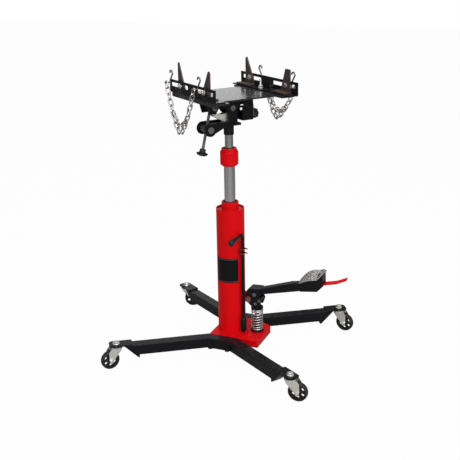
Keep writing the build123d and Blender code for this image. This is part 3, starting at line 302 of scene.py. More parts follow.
def arm_finish(name):
    """Brown-bronze stoved paint on the clamp arms, thin and patchy over steel."""
    m = Shader(name)
    cloud = m.noise(42.0, 5.0, 0.62)
    fine = m.noise(260.0, 3.0)
    rub = (m.edges(0.0012) * fine.above(0.48, 0.2)).clamped()
    base = m.mix(cloud.above(0.35, 0.35), (0.038, 0.025, 0.023), (0.080, 0.055, 0.050))
    m.feed(Base_Color=m.mix(rub * 0.8, base, (0.30, 0.26, 0.24)))
    m.feed(Metallic=0.35, Roughness=0.36 + cloud * 0.2, Coat_Weight=0.04)
    m.bump(fine * 0.6 + cloud * 0.4, 0.00016, 0.5)
    return m.material


def label_finish(name):
    """Bare name plate: black field inside a thin dark grey border."""
    m = Shader(name)
    height = m.axis("Z")
    low, high = (corner.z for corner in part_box("label_plate"))
    inset = 4.5 * MM
    band = 0.9 * MM
    near = (height - (low + inset)).absolute().least((height - (high - inset)).absolute())
    line = 1.0 - near.above(band * 0.5, 0.2 * MM)
    fine = m.noise(300.0, 3.0)
    m.feed(Base_Color=m.mix(line * 0.8, (0.004, 0.004, 0.0045), (0.16, 0.155, 0.155)))
    m.feed(Roughness=0.30 + fine * 0.12, Coat_Weight=0.03, Specular_IOR_Level=0.08)
    m.bump(fine, 0.00005, 0.3)
    return m.material


def make_finishes():
    """All finishes by the record's slot names."""
    s = bpy.context.scene.jack_colours
    black = tuple(s.black)
    red = tuple(s.red)
    deep_red = tuple(c * 0.86 for c in red)
    oxblood, deep_oxblood = (0.20, 0.012, 0.014), (0.12, 0.008, 0.01)
    deep_black, bracket_black = (0.003, 0.0027, 0.0036), (0.005, 0.0045, 0.006)
    table_black, deep_table = (0.012, 0.011, 0.013), (0.008, 0.007, 0.009)
    red_chip = (0.30, 0.03, 0.03)
    return {
        "red_paint": gloss_paint("red enamel", red, deep_red, 0.34, 0.03, red_chip, 0.15, 0.06, 0.015),
        "dark_red_paint": gloss_paint("dark red enamel", oxblood, deep_oxblood, 0.3, 0.1),
        "black_paint": gloss_paint("black enamel", black, deep_black, 0.30, 0.03, shine=0.12, dust_and_top_light_amount=0.085),
        "table_paint": gloss_paint("table enamel", table_black, deep_table, 0.2, 0.1),
        "bracket_paint": gloss_paint(
            "bracket enamel", black, bracket_black, 0.16, 0.0, shine=0.14, dust_and_top_light_amount=0.05
        ),
        "arm_bronze": arm_finish("bronze stove paint"),
        "label_black": label_finish("bare name plate"),
        "ram_chrome": ram_chrome("ram chrome"),
        "zinc": plated("zinc plate", (0.86, 0.83, 0.77), (0.66, 0.635, 0.59)),
        "chain_zinc": plated("chain zinc", (0.60, 0.57, 0.55), (0.30, 0.28, 0.27), 0.14, 380.0, 0.5),
        "bright_zinc": plated("bright zinc", (0.74, 0.73, 0.71), (0.52, 0.51, 0.50), 0.2, 420.0, 0.2),
        "dark_steel": blackened("blackened steel"),
        "pad_plate": plated("pad steel", (0.44, 0.42, 0.415), (0.29, 0.275, 0.275), 0.42, 320.0, 0.6),
        "knob_plastic": moulded("knob plastic", (0.010, 0.010, 0.011), 0.38),
        "tyre": moulded("tyre rubber", (0.012, 0.012, 0.0125), 0.5, 500.0),
        "wheel_plastic": moulded("wheel plastic", (0.009, 0.009, 0.0095), 0.42),
        "seal_rubber": moulded("seal rubber", (0.014, 0.014, 0.014), 0.6),
        "brass": plated("brass cap", (0.62, 0.50, 0.22), (0.44, 0.35, 0.15), 0.3),
    }


# ---------------------------------------------------------------------
# Surfaces
# ---------------------------------------------------------------------
def saddle_turn(points):
    """Turn (u, v, z) points by the saddle's yaw into the part's frame."""
    c, s = math.cos(SADDLE_YAW), math.sin(SADDLE_YAW)
    p = np.asarray(points, float)
    return np.stack([p[..., 0] * c - p[..., 1] * s, p[..., 0] * s + p[..., 1] * c, p[..., 2]], -1)


def frame_on(axis):
    """Two unit vectors square to an axis, and the axis itself."""
    w = np.asarray(axis, float)
    w = w / np.linalg.norm(w)
    side = np.array([1.0, 0, 0]) if abs(w[0]) < 0.9 else np.array([0, 1.0, 0])
    u = np.cross(side, w)
    u /= np.linalg.norm(u)
    return u, np.cross(w, u), w


def grid_faces(rows, cols, wrap_rows, wrap_cols):
    """Quads between neighbouring points of a rows x cols grid."""
    i = np.arange(rows if wrap_rows else rows - 1)
    j = np.arange(cols if wrap_cols else cols - 1)
    i, j = (a.ravel() for a in np.meshgrid(i, j, indexing="ij"))
    i2, j2 = (i + 1) % rows, (j + 1) % cols
    return np.stack([i * cols + j, i * cols + j2, i2 * cols + j2, i2 * cols + j], -1)


class Soup:
    """Collects grids of points and turns them into one mesh in millimetres."""

    def __init__(self):
        self.points = []
        self.faces = []
        self.count = 0

    def grid(self, points, wrap_rows=False, wrap_cols=False, caps=False):
        """Add a rows x cols x 3 grid; caps close the first and last rows with a fan."""
        rows, cols = points.shape[:2]
        flat = points.reshape(-1, 3)
        faces = [tuple(f) for f in grid_faces(rows, cols, wrap_rows, wrap_cols) + self.count]
        if caps:
            ends = np.stack([points[0].mean(0), points[-1].mean(0)])
            first, last = self.count + len(flat), self.count + len(flat) + 1
            flat = np.concatenate([flat, ends])
            low, high = self.count, self.count + (rows - 1) * cols
            for j in range(cols):
                k = (j + 1) % cols
                faces.append((first, low + k, low + j))
                faces.append((last, high + j, high + k))
        self.points.append(flat)
        self.faces.extend(faces)
        self.count += len(flat)

    def piece(self, name, finish, body, slot, smooth=35.0):
        """Make the Blender object: faces out, smooth below the given edge angle."""
        mesh = bpy.data.meshes.new(name)
        faces = [tuple(map(int, f)) for f in self.faces]
        mesh.from_pydata(np.concatenate(self.points) * MM, [], faces)
        return finish_mesh(mesh, name, finish, body, smooth)


def smooth_below(build, angle):
    """Shade all faces smooth but break edges sharper than angle (degrees); returns it in radians."""
    limit = math.radians(angle)
    for edge in build.edges:
        edge.smooth = len(edge.link_faces) == 2 and edge.calc_face_angle(0.0) < limit
    for face in build.faces:
        face.smooth = True
    return limit


def finish_mesh(mesh, name, finish, body, smooth):
    """Merge seams, face everything outward, shade and hand the object to its body."""
    build = bmesh.new()
    build.from_mesh(mesh)
    bmesh.ops.remove_doubles(build, verts=build.verts, dist=1e-6)
    bmesh.ops.recalc_face_normals(build, faces=build.faces)
    smooth_below(build, smooth)
    build.to_mesh(mesh)
    build.free()
    piece = bpy.data.objects.new(name, mesh)
    bpy.context.scene.collection.objects.link(piece)
    piece.data.materials.append(finish)
    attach(piece, body)
    return piece


def swept(path, radius, sides=12, closed=False):
    """Grid of circles of one radius carried along a path without twist."""
    p = np.asarray(path, float)
    ahead = np.roll(p, -1, 0) - np.roll(p, 1, 0)
    if not closed:
        ahead[0], ahead[-1] = p[1] - p[0], p[-1] - p[-2]
    ahead /= np.linalg.norm(ahead, axis=1)[:, None]
    side = frame_on(ahead[0])[0]
    turn = np.linspace(0, 2 * np.pi, sides, endpoint=False)
    rings = []
    for here, along in zip(p, ahead):
        side = side - along * side.dot(along)
        side /= np.linalg.norm(side)
        other = np.cross(along, side)
        rings.append(here + radius * (np.cos(turn)[:, None] * side + np.sin(turn)[:, None] * other))
    return np.array(rings)


def rounded(corners, reach, steps=6):
    """Path through corners whose bends are quadratic curves starting reach short of each corner."""
    c = [np.asarray(p, float) for p in corners]
    out = [c[0]]
    for before, here, after in zip(c, c[1:], c[2:]):
        back = (before - here) / np.linalg.norm(before - here)
        on = (after - here) / np.linalg.norm(after - here)
        start, end = here + back * reach, here + on * reach
        for t in np.linspace(0, 1, steps):
            out.append((1 - t) ** 2 * start + 2 * t * (1 - t) * here + t * t * end)
    out.append(c[-1])
    return np.array(out)


def lathe(profile, origin, axis, sides=64, lobes=None):
    """Grid of a (radius, height) profile turned about an axis; lobes(angle, radius, height) -> radius."""
    u, v, w = frame_on(axis)
    turn = np.linspace(0, 2 * np.pi, sides, endpoint=False)
    r, h = (np.asarray(a, float)[:, None] for a in zip(*profile))
    r = r * np.ones_like(turn)
    if lobes:
        r = lobes(turn, r, h)
    across = np.cos(turn)[:, None] * u + np.sin(turn)[:, None] * v
    return np.asarray(origin, float) + r[..., None] * across + (h * np.ones_like(turn))[..., None] * w


def arc(cx, cy, r, a0, a1, steps=8):
    """(x, y) points of an arc in degrees."""
    a = np.radians(np.linspace(a0, a1, steps))
    return [(cx + r * math.cos(t), cy + r * math.sin(t)) for t in a]


def turned(soup, profile, origin, axis, sides, lobes=None, ring=False, yawed=False):
    """Add a turned solid to a soup: a ring's profile closes on itself, any other gets end caps."""
    grid = lathe(profile, origin, axis, sides, lobes)
    if yawed:
        grid = saddle_turn(grid)
    soup.grid(grid, wrap_rows=ring, wrap_cols=True, caps=not ring)
    return soup


# ---------------------------------------------------------------------
# Softened copies of the frame's own parts
# ---------------------------------------------------------------------
def islands(build):
    """Faces of each unconnected lump of a mesh."""
    left = set(build.faces)
    while left:
        lump, front = set(), [left.pop()]
        while front:
            face = front.pop()
            lump.add(face)
            for edge in face.edges:
                for other in edge.link_faces:
                    if other in left:
                        left.remove(other)
                        front.append(other)
        yield lump


def on_arm_bolt(face, bolt_v):
    """True if a face belongs to the bolt through a bracket's slot at this v."""
    for vert in face.verts:
        x, y, z = (c / MM for c in vert.co)
        v = y * math.cos(SADDLE_YAW) - x * math.sin(SADDLE_YAW)
        if math.hypot(v - bolt_v, z - SLOT_Z) > BOLT_REACH:
            return False
    return True


def softened(node, width=None, finish=None, bolt_finish=None, lump_size=0.0, bolt_v=None):
    """Copy a CAD node, merge its corners and round every edge.

    Lumps smaller than lump_size (mm), or faces round an arm's bolt, take bolt_finish.
    """
    build = bmesh.new()
    build.from_mesh(NODES[node].data)
    bmesh.ops.remove_doubles(build, verts=build.verts, dist=2e-6)
    bmesh.ops.dissolve_limit(
        build, angle_limit=math.radians(0.4), verts=build.verts, edges=build.edges, delimit={"NORMAL"}
    )
    bmesh.ops.recalc_face_normals(build, faces=build.faces)
    limit = smooth_below(build, 32.0)
    for lump in islands(build):
        spots = np.array([v.co for f in lump for v in f.verts])
        small = np.ptp(spots, axis=0).max() < lump_size * MM
        for face in lump:
            on_bolt = bolt_v is not None and on_arm_bolt(face, bolt_v)
            face.material_index = 1 if small or on_bolt else 0
    mesh = bpy.data.meshes.new(node + "_look")
    build.to_mesh(mesh)
    build.free()
    for name in ("custom_normal", "sharp_face"):
        if name in mesh.attributes:
            mesh.attributes.remove(mesh.attributes[name])
    part = next(p for p in frame["record"]["subparts"] if p["node"] == node)
    piece = bpy.data.objects.new(node + "_look", mesh)
    bpy.context.scene.collection.objects.link(piece)
    piece.data.materials.append(FINISH[finish or part["material_slot"]])
    if bolt_finish:
        piece.data.materials.append(FINISH[bolt_finish])
    if width:
        soft = piece.modifiers.new("Edges", "BEVEL")
        soft.width = width * MM * bpy.context.scene.jack_sizes.rounding
        soft.segments = 2
        soft.limit_method = "ANGLE"
        soft.angle_limit = limit
        soft.use_clamp_overlap = True
        soft.harden_normals = True
    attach(piece, NODES[node]["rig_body"])
    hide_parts(node)
    return piece


# ---------------------------------------------------------------------
# Casters
# ---------------------------------------------------------------------
WHEEL_R = 38.1
WHEEL_HALF = 11.0
WHEEL_BORE = 5.1
WEB_HALF = WHEEL_HALF - 1.2
WEB_R = 31.2
HUB_R = 10.0
RIM_R = 30.0
SHOULDER_R = 6.2
WINDOWS = 6
WINDOW_R = 6.9
WINDOW_RING = 22.0
BUSH = [(5.2, 9.6), (5.2, 10.6), (7.6, 10.6), (8.0, 10.0), (8.0, 9.6)]
TRAIL = 30.0
PIVOTS = {"fl": (-367, -328, 234), "fr": (367, -328, 1), "rr": (367, 328, -10), "rl": (-367, 328, 25)}


def caster_place(corner):
    """Wheel centre and the unit vectors along the fork and the axle."""
    x, y, turn = PIVOTS[corner]
    a = math.radians(turn)
    along = np.array([math.cos(a), math.sin(a), 0.0])
    axle = np.array([-math.sin(a), math.cos(a), 0.0])
    return np.array([x, y, WHEEL_R]) + TRAIL * along, along, axle


def wheel_disc(corner, sides=144):
    """Web between hub and rim with round windows.

    Formula: each point of a (radius, angle) grid keeps its place unless it lies in a window, where it
    is pushed out to the window's rim along the line from the window's centre, so the grid closes
    round each hole; front and back grids are joined by the window walls.
    """
    centre, along, axle = caster_place(corner)
    up = np.array([0, 0, 1.0])
    turn = np.linspace(0, 2 * np.pi, sides, endpoint=False)
    soup = Soup()
    rows = np.linspace(WHEEL_BORE, WEB_R, 26)
    r, a = np.meshgrid(rows, turn, indexing="ij")
    x, y = r * np.cos(a), r * np.sin(a)
    hole = np.zeros(x.shape, bool)
    for k in range(WINDOWS):
        t = 2 * np.pi / WINDOWS * (k + 0.5)
        cx, cy = WINDOW_RING * math.cos(t), WINDOW_RING * math.sin(t)
        d = np.hypot(x - cx, y - cy)
        near = d < WINDOW_R
        scale = np.where(near, WINDOW_R / np.maximum(d, 1e-6), 1.0)
        x, y = cx + (x - cx) * scale, cy + (y - cy) * scale
        hole |= near
    hub = 1.0 - np.clip((rows - HUB_R) / 3.0, 0, 1)
    thick = (WEB_HALF * (0.55 + 0.45 * hub))[:, None] * np.ones_like(x)
    faces = grid_faces(len(rows), sides, False, True)
    solid = ~hole.ravel()[faces].all(1)
    count = x.size
    for side in (-1, 1):
        web = x.reshape(-1, 1) * along + y.reshape(-1, 1) * up
        soup.points.append(centre + web + side * thick.reshape(-1, 1) * axle)
    kept = faces[solid]
    soup.faces.extend(tuple(f[::-1]) for f in kept)
    soup.faces.extend(tuple(f + count) for f in kept)
    edges = {(int(a0), int(b0)): True for face in kept for a0, b0 in zip(face, np.roll(face, -1))}
    for a0, b0 in edges:
        if (b0, a0) not in edges:
            soup.faces.append((a0, b0, b0 + count, a0 + count))
    soup.count = 2 * count
    return soup


def tyre_profile():
    """(radius, axle offset) outline of the tread and rim, with a shallow groove each side of the tread."""
    side = -WHEEL_HALF
    out = [(RIM_R, side + 1.6), (RIM_R + 0.2, side + 0.4), (WHEEL_R - 7.8, side + 0.4)]
    out += [(WHEEL_R - 7.4, side + 1.0), (WHEEL_R - 6.9, side + 0.2)]
    out += arc(WHEEL_R - SHOULDER_R, side + SHOULDER_R, SHOULDER_R, -90, 0)
    out += [(WHEEL_R - 0.05, 0.0)]
    out += [(r, -h) for r, h in reversed(out[:-1])]
    return out


class JACK_OT_wheels(bpy.types.Operator):
    """Caster wheels: round tyre, windowed web, hub ring"""

    bl_idname = "jack.wheels"
    bl_label = "Caster wheels"

    def execute(self, context):
        for corner in CORNERS:
            centre, _, axle = caster_place(corner)
            body = "wheel_" + corner
            disc = wheel_disc(corner)
            web = disc.piece("wheel_web_" + corner, FINISH["wheel_plastic"], body, "wheel_plastic")
            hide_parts("caster_wheel_" + corner)
            tyre = turned(Soup(), tyre_profile(), centre, axle, 96, ring=True)
            tyre.piece("wheel_tyre_" + corner, FINISH["tyre"], body, "wheel_plastic", 50)
            bushes = Soup()
            for side in (-1, 1):
                turned(bushes, BUSH, centre, axle * side, 40, ring=True)
            bushes.piece("wheel_bush_" + corner, FINISH["dark_steel"], body, "wheel_plastic")
            fork = softened("caster_fork_" + corner, 0.7)
            fork.name = "fork_look_" + corner
        return {"FINISHED"}


# ---------------------------------------------------------------------
# Column top, collar and spring
# ---------------------------------------------------------------------
COLLAR_FOOT = 785.0
WAIST = (30.0, 51.0)
NECK_R = 30.0
FLUTES = 52


def knurl(turn, r, h):
    """Vertical flutes round the waist: radius dips by the size of a sine, fading out at both ends."""
    low, high = WAIST
    on = np.clip((h - low) / 2.0, 0, 1) * np.clip((high - h) / 2.0, 0, 1)
    return r - on * 0.9 * np.abs(np.sin(turn * FLUTES / 2)) * (r > NECK_R + 2)


class JACK_OT_collar(bpy.types.Operator):
    """Gland nut of the outer ram: bevelled foot, fluted waist, neck with a wiper"""

    bl_idname = "jack.collar"
    bl_label = "Ram collar"

    def execute(self, context):
        foot = (0, 0, COLLAR_FOOT)
        rows = [(16.8, 0.4), (27.4, 0.2), (28.4, 0.6), (35.4, 7.6), (35.9, 8.6)]
        rows += [(35.9, h) for h in np.linspace(9.5, 56.0, 48)]
        rows += [(35.6, 56.8), (31.9, 63.2), (31.0, 64.2), (29.9, 64.8), (29.8, 70.6)]
        rows += [(29.0, 71.7), (23.2, 71.7), (22.6, 71.2), (22.2, 68.6), (16.8, 68.6)]
        soup = turned(Soup(), rows, foot, (0, 0, 1), 4 * FLUTES, knurl, ring=True)
        collar = soup.piece("collar_look", FINISH["red_paint"], "outer_ram", "red_paint", 42)
        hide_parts("ram_collar")
        rows = [(16.7, 68.4), (21.9, 68.4), (21.9, 70.4), (19.5, 71.4), (17.4, 71.9), (16.7, 71.2)]
        soup = turned(Soup(), rows, foot, (0, 0, 1), 72, ring=True)
        soup.piece("collar_wiper_look", FINISH["seal_rubber"], "outer_ram", "seal_rubber")
        return {"FINISHED"}


SPRING_X = 112.0
SPRING_FOOT = 100.0
SPRING_HEAD = 194.0
COIL_R = 22.4


class JACK_OT_spring(bpy.types.Operator):
    """Return spring with closed ends"""

    bl_idname = "jack.spring"
    bl_label = "Return spring"

    def execute(self, context):
        sizes = context.scene.jack_sizes
        wire = sizes.spring_wire / MM / 2
        turns = sizes.spring_turns
        t = np.linspace(0, 1, 44 * int(turns) + 1)
        closed = 1.0 / turns
        rise = np.clip((t - closed) / (1 - 2 * closed), 0, 1)
        flat = 2.2 * wire
        low, high = SPRING_FOOT + wire + 0.2, SPRING_HEAD - wire - 0.2
        start = np.clip(t / closed, 0, 1) * flat
        finish = np.clip((t - 1 + closed) / closed, 0, 1) * flat
        z = low + start + finish + rise * (high - low - 2 * flat)
        a = 2 * np.pi * turns * t + 0.9
        path = np.stack([SPRING_X + COIL_R * np.cos(a), COIL_R * np.sin(a), z], -1)
        soup = Soup()
        soup.grid(swept(path, wire, 14), wrap_cols=True, caps=True)
        spring = soup.piece("spring_look", FINISH["bright_zinc"], "base", "zinc", 40)
        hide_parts("pump_spring")
        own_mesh(spring)
        return {"FINISHED"}


# ---------------------------------------------------------------------
# Tilt screw and knobs
# ---------------------------------------------------------------------
TRUNNION = np.array([-98.0, 0.0, 942.0])
EYE = np.array([-79.0, 0.0, 1023.0])
KNOB_REACH = 101.0
STUD_END = (97.6, 0.0, 980.0)


def thread(turn, r, h):
    """Screw thread: radius falls by a rounded triangle wave of the height plus the turn, 2 mm a turn."""
    depth = 0.75
    wave = np.abs(((h / 2.0 + turn / (2 * np.pi)) % 1.0) * 2 - 1)
    return r - depth * wave * (r > 4.6)


class JACK_OT_screw(bpy.types.Operator):
    """Tilt screw: threaded bar with its eye, and the mushroom hand knob"""

    bl_idname = "jack.screw"
    bl_label = "Tilt screw"

    def execute(self, context):
        axis = (EYE - TRUNNION) / np.linalg.norm(EYE - TRUNNION)
        reach = float(np.linalg.norm(EYE - TRUNNION))
        low, high = -KNOB_REACH + 6.0, reach - 13.0
        heights = np.arange(low, high, 0.22)
        rows = [(0.02, low - 1.0), (4.5, low - 1.0)] + [(5.95, h) for h in heights] + [(4.5, high + 0.6)]
        rows += [(4.5, high + 3.2), (0.02, high + 3.2)]
        soup = turned(Soup(), rows, TRUNNION, axis, 36, thread, yawed=True)
        screw = soup.piece("tilt_screw_look", FINISH["dark_steel"], "screw", "dark_steel", 60)
        rows = [(8.25, -7.2), (8.25, 7.2), (8.9, 7.9), (11.2, 7.9), (11.9, 7.2), (11.9, -7.2)]
        rows += [(11.2, -7.9), (8.9, -7.9)]
        soup = turned(Soup(), rows, EYE, (0, 1, 0), 56, ring=True, yawed=True)
        soup.piece("tilt_eye_look", FINISH["black_paint"], "screw", "zinc", 30)
        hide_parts("tilt_screw")
        top = -KNOB_REACH + 24.0
        down = [(6.05, 22), (6.05, 0.4), (9.8, 0.2), (10.6, 0.9), (11.9, 3.5), (12.3, 11.4), (13.2, 12.8)]
        down += [(16.0, 13.9), (20.6, 15.6)] + arc(20.7, 18.4, 2.2, -75, 60, 9)
        down += [(19.4, 23.2), (17.2, 25.2), (10.0, 27.5), (4.0, 27.9), (0.02, 27.9)]
        rows = [(r, top - drop) for r, drop in down]

        def ribs(turn, r, h):
            """Grip ribs on the rim: radius dips by a cosine of the angle where the knob is wide."""
            wide = np.clip((r - 17.5) / 2.0, 0, 1)
            return r - wide * 0.55 * (0.5 + 0.5 * np.cos(turn * 22))

        soup = turned(Soup(), rows, TRUNNION, axis, 132, ribs, yawed=True)
        knob = soup.piece("tilt_knob_look", FINISH["knob_plastic"], "screw", "knob_plastic", 40)
        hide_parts("tilt_knob")
        return {"FINISHED"}


class JACK_OT_star_knob(bpy.types.Operator):
    """Seven-lobed clamp knob of the side tilt"""

    bl_idname = "jack.star_knob"
    bl_label = "Star knob"

    def execute(self, context):
        rows = [(5.1, 0.2), (9.2, 0.2), (9.8, 0.8), (9.8, 9.6), (11.0, 10.6), (17.2, 11.2), (18.8, 12.4)]
        rows += [(19.7, 15.0), (19.7, 24.5), (18.9, 27.4), (17.0, 29.2), (12.0, 29.8), (8.4, 29.8)]
        rows += [(7.6, 29.0), (7.6, 27.6), (0.02, 27.6)]

        def lobes(turn, r, h):
            """Seven lobes: radius dips between them by a flattened cosine, only where the knob is wide."""
            wide = np.clip((r - 10.5) / 5.0, 0, 1)
            dip = (0.5 - 0.5 * np.cos(turn * 7)) ** 1.6
            return r - wide * 3.4 * dip

        soup = turned(Soup(), rows, STUD_END, (1, 0, 0), 168, lobes, yawed=True)
        knob = soup.piece("star_knob_look", FINISH["knob_plastic"], "side_knob", "knob_plastic", 40)
        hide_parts("star_knob")
        rows = [(0.02, 27.4), (5.6, 27.4), (5.6, 29.0), (4.9, 29.6), (0.02, 29.7)]
        soup = turned(Soup(), rows, STUD_END, (1, 0, 0), 36, yawed=True)
        soup.piece("star_knob_insert", FINISH["brass"], "side_knob", "zinc", 40)
        return {"FINISHED"}


# ---------------------------------------------------------------------
# Release lever and foot pad
# ---------------------------------------------------------------------
ROD_X = 63.0
ROD_Y = -28.0
ROD_TOP = 517.0


class JACK_OT_release(bpy.types.Operator):
    """Release rod bent over at the top, with its teardrop grip"""

    bl_idname = "jack.release"
    bl_label = "Release lever"

    def execute(self, context):
        line = [(ROD_X, ROD_Y, 103.0), (ROD_X, ROD_Y, ROD_TOP), (ROD_X, ROD_Y - 80, ROD_TOP)]
        soup = Soup()
        soup.grid(swept(rounded(line, 17.5, 14), 5.95, 28), wrap_cols=True, caps=True)
        rod = soup.piece("release_rod_look", FINISH["black_paint"], "release", "black_paint", 40)
        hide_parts("release_rod")
        rows = [(5.96, 0.1), (7.2, 0.1), (7.5, 0.8), (7.9, 10), (8.5, 20), (9.3, 32), (10.5, 45.9)]
        rows += [(11.7, 54), (12.4, 60.5), (12.2, 64), (11.4, 68), (9.6, 71.2), (7.0, 73.2), (3.4, 73.9)]
        rows += [(0.02, 74.0)]

        def grip(turn, r, h):
            """Moulding seam along both sides."""
            seam = 0.18 * np.exp(-((np.sin(turn) / 0.05) ** 2)) * (r > 6.5)
            return r - seam

        soup = turned(Soup(), rows, (ROD_X, ROD_Y - 54, ROD_TOP), (0, -1, 0), 96, grip)
        handle = soup.piece("release_grip_look", FINISH["knob_plastic"], "release", "knob_plastic", 40)
        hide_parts("release_grip")
        return {"FINISHED"}


PAD_NEAR_Y = -34.0
PAD_FAR_Y = 30.0
PAD_NEAR = [(296, 336), (315, 347), (340, 357), (372, 363), (392, 380), (408, 402)]
PAD_FAR = [(288, 332), (304, 352), (320, 368), (342, 379), (372, 383), (398, 394)]
PAD_PLAN = [(296, -26), (306, -34), (378, -34), (404, -6), (402, 6), (384, 30), (302, 30), (292, 22)]
PAD_T = 4.0


def pad_spans(y):
    """Lowest and highest x of the pad's plan at each y."""
    low, high = np.full(y.shape, 1e9), np.full(y.shape, -1e9)
    for (xa, ya), (xb, yb) in zip(PAD_PLAN, PAD_PLAN[1:] + PAD_PLAN[:1]):
        if ya == yb:
            low = np.where(np.isclose(y, ya), np.minimum(low, min(xa, xb)), low)
            high = np.where(np.isclose(y, ya), np.maximum(high, max(xa, xb)), high)
            continue
        t = (y - ya) / (yb - ya)
        on = (t >= -1e-9) & (t <= 1 + 1e-9)
        x = xa + t * (xb - xa)
        low = np.where(on, np.minimum(low, x), low)
        high = np.where(on, np.maximum(high, x), high)
    return low, high


def pad_height(x, y):
    """Underside of the pad: the near and far edge profiles blended straight across the pad."""
    near = np.interp(x, *np.array(PAD_NEAR).T)
    far = np.interp(x, *np.array(PAD_FAR).T)
    t = (y - PAD_NEAR_Y) / (PAD_FAR_Y - PAD_NEAR_Y)
    return near + (far - near) * t


def tread(x, y):
    """Raised checker bars: short lozenges in two crossed directions, alternating cell by cell."""
    pitch = 9.0
    i, j = np.floor(x / pitch), np.floor(y / pitch)
    fx, fy = x / pitch - i - 0.5, y / pitch - j - 0.5
    flip = np.where((i + j) % 2 == 0, 1.0, -1.0)
    along, across = (fx + flip * fy) * 0.7071, (fx - flip * fy) * 0.7071
    shape = 1.0 - (np.abs(along) / 0.52) ** 2.2 - (np.abs(across) / 0.15) ** 2
    return np.clip(shape * 1.6, 0, 1)


class JACK_OT_pad(bpy.types.Operator):
    """Foot pad of rolled checker plate"""

    bl_idname = "jack.pad"
    bl_label = "Foot pad"

    def execute(self, context):
        rows, cols = 150, 190
        y = np.linspace(PAD_NEAR_Y, PAD_FAR_Y, rows)
        low, high = pad_spans(y)
        s = np.linspace(0, 1, cols)
        x = low[:, None] + (high - low)[:, None] * s
        y = y[:, None] * np.ones_like(x)
        edge = np.minimum.reduce([(x - low[:, None]), (high[:, None] - x), y - PAD_NEAR_Y, PAD_FAR_Y - y])
        roll = 0.7 * (1 - np.sqrt(np.clip(1 - (1 - np.clip(edge / 0.8, 0, 1)) ** 2, 0, 1)))
        raised = context.scene.jack_sizes.tread_height / MM * tread(x, y) * np.clip((edge - 3.0) / 2.0, 0, 1)
        under = pad_height(x, y)
        top = np.stack([x, y, under + PAD_T - 0.75 - roll + raised], -1)
        bottom = np.stack([x, y, under + 0.05 + roll * 0.6], -1)
        ring = np.concatenate([top, bottom[:, ::-1]], axis=1)
        soup = Soup()
        soup.grid(ring, wrap_cols=True)
        for row, flip in ((0, False), (rows - 1, True)):
            face = np.stack([top[row], bottom[row]])
            soup.grid(face if flip else face[::-1])
        pad = soup.piece("pad_look", FINISH["pad_plate"], "pedal", "pad_plate", 40)
        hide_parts("pedal_pad")
        return {"FINISHED"}


# ---------------------------------------------------------------------
# Stage
# ---------------------------------------------------------------------
CAMERA_AT = (1.26012, -2.98503, 1.61035)
CAMERA_AZIMUTH = 22.926
CAMERA_PITCH = 18.631
CAMERA_ROLL = -1.025
CAMERA_LENS = 66.52
WHITE = (1.0, 1.0, 1.0, 1.0)


def camera_matrix():
    """Camera placed by azimuth about the column, pitch below the horizon and roll."""
    a, p, r = (math.radians(x) for x in (CAMERA_AZIMUTH, CAMERA_PITCH, CAMERA_ROLL))
    back = Vector((math.sin(a) * math.cos(p), -math.cos(a) * math.cos(p), math.sin(p)))
    right = Vector((math.cos(a), math.sin(a), 0.0))
    up = back.cross(right)
    across = math.cos(r) * right + math.sin(r) * up
    above = math.cos(r) * up - math.sin(r) * right
    turn = Matrix((across, above, back)).transposed().to_4x4()
    return Matrix.Translation(CAMERA_AT) @ turn


def make_camera():
    """The view's camera."""
    data = bpy.data.cameras.new("view")
    data.lens = CAMERA_LENS
    data.sensor_width = 36.0
    data.dof.use_dof = False
    data.clip_start = 0.05
    data.clip_end = 60.0
    camera = bpy.data.objects.new("view", data)
    bpy.context.scene.collection.objects.link(camera)
    camera.matrix_world = camera_matrix()
    bpy.context.scene.camera = camera


def make_world():
    """White behind the object; for all other rays a studio that is bright in front and above, dim behind."""
    world = bpy.data.worlds.new("studio")
    bpy.context.scene.world = world
    world.use_nodes = True
    m = Nodes(world.node_tree)
    place = m.node("TexCoord", {}, {}, "Generated")
    lights = []
    for aim, stops in (
        ((0.75, -0.66, 0.05), ((0.0, 0.10), (0.50, 0.14), (0.70, 0.6), (0.85, 1.6), (1.0, 2.0))),
        ((0.0, 0.0, 1.0), ((0.0, 0.25), (0.47, 0.45), (0.60, 0.9), (0.80, 0.75), (1.0, 1.3))),
    ):
        facing = m.node("VectorMath", {"operation": "DOT_PRODUCT"}, {0: place, 1: aim}, "Value")
        share = m.node("Math", {"operation": "MULTIPLY_ADD"}, {0: facing, 1: 0.5, 2: 0.5})
        greys = [(position, (light,) * 3) for position, light in stops]
        lights.append(m.node("ValToRGB", {"stops": greys}, {0: share}))
    both = m.node("VectorMath", {"operation": "MULTIPLY"}, dict(enumerate(lights)))
    strength = bpy.context.scene.jack_stage.dome
    dome = m.node("Background", {}, {"Color": both, "Strength": strength})
    white = m.node("Background", {}, {"Color": WHITE})
    sky = m.node("MixShader", {}, {0: m.seen_directly(), 1: dome, 2: white})
    m.fill(m.tree.nodes["World Output"], {"Surface": sky})


def make_floor():
    """Pale floor, nearly pure white to the camera, that keeps a faint shadow."""
    half = 14.0
    mesh = bpy.data.meshes.new("floor")
    corners = [(-half, -half, 0), (half, -half, 0), (half, half, 0), (-half, half, 0)]
    mesh.from_pydata(corners, [], [(0, 1, 2, 3)])
    floor = bpy.data.objects.new("floor", mesh)
    bpy.context.scene.collection.objects.link(floor)
    m = Shader("studio floor")
    m.feed(Base_Color=(0.34, 0.34, 0.34, 1.0), Roughness=0.9, Specular_IOR_Level=0.1)
    paper = Value(m, m.surface.outputs[0])
    glow = m.node("Emission", {}, {"Color": WHITE})
    share = m.seen_directly() * bpy.context.scene.jack_stage.floor_white
    both = m.node("MixShader", {}, {0: share, 1: paper, 2: glow})
    m.fill(m.tree.nodes["Material Output"], {"Surface": both})
    mesh.materials.append(m.material)


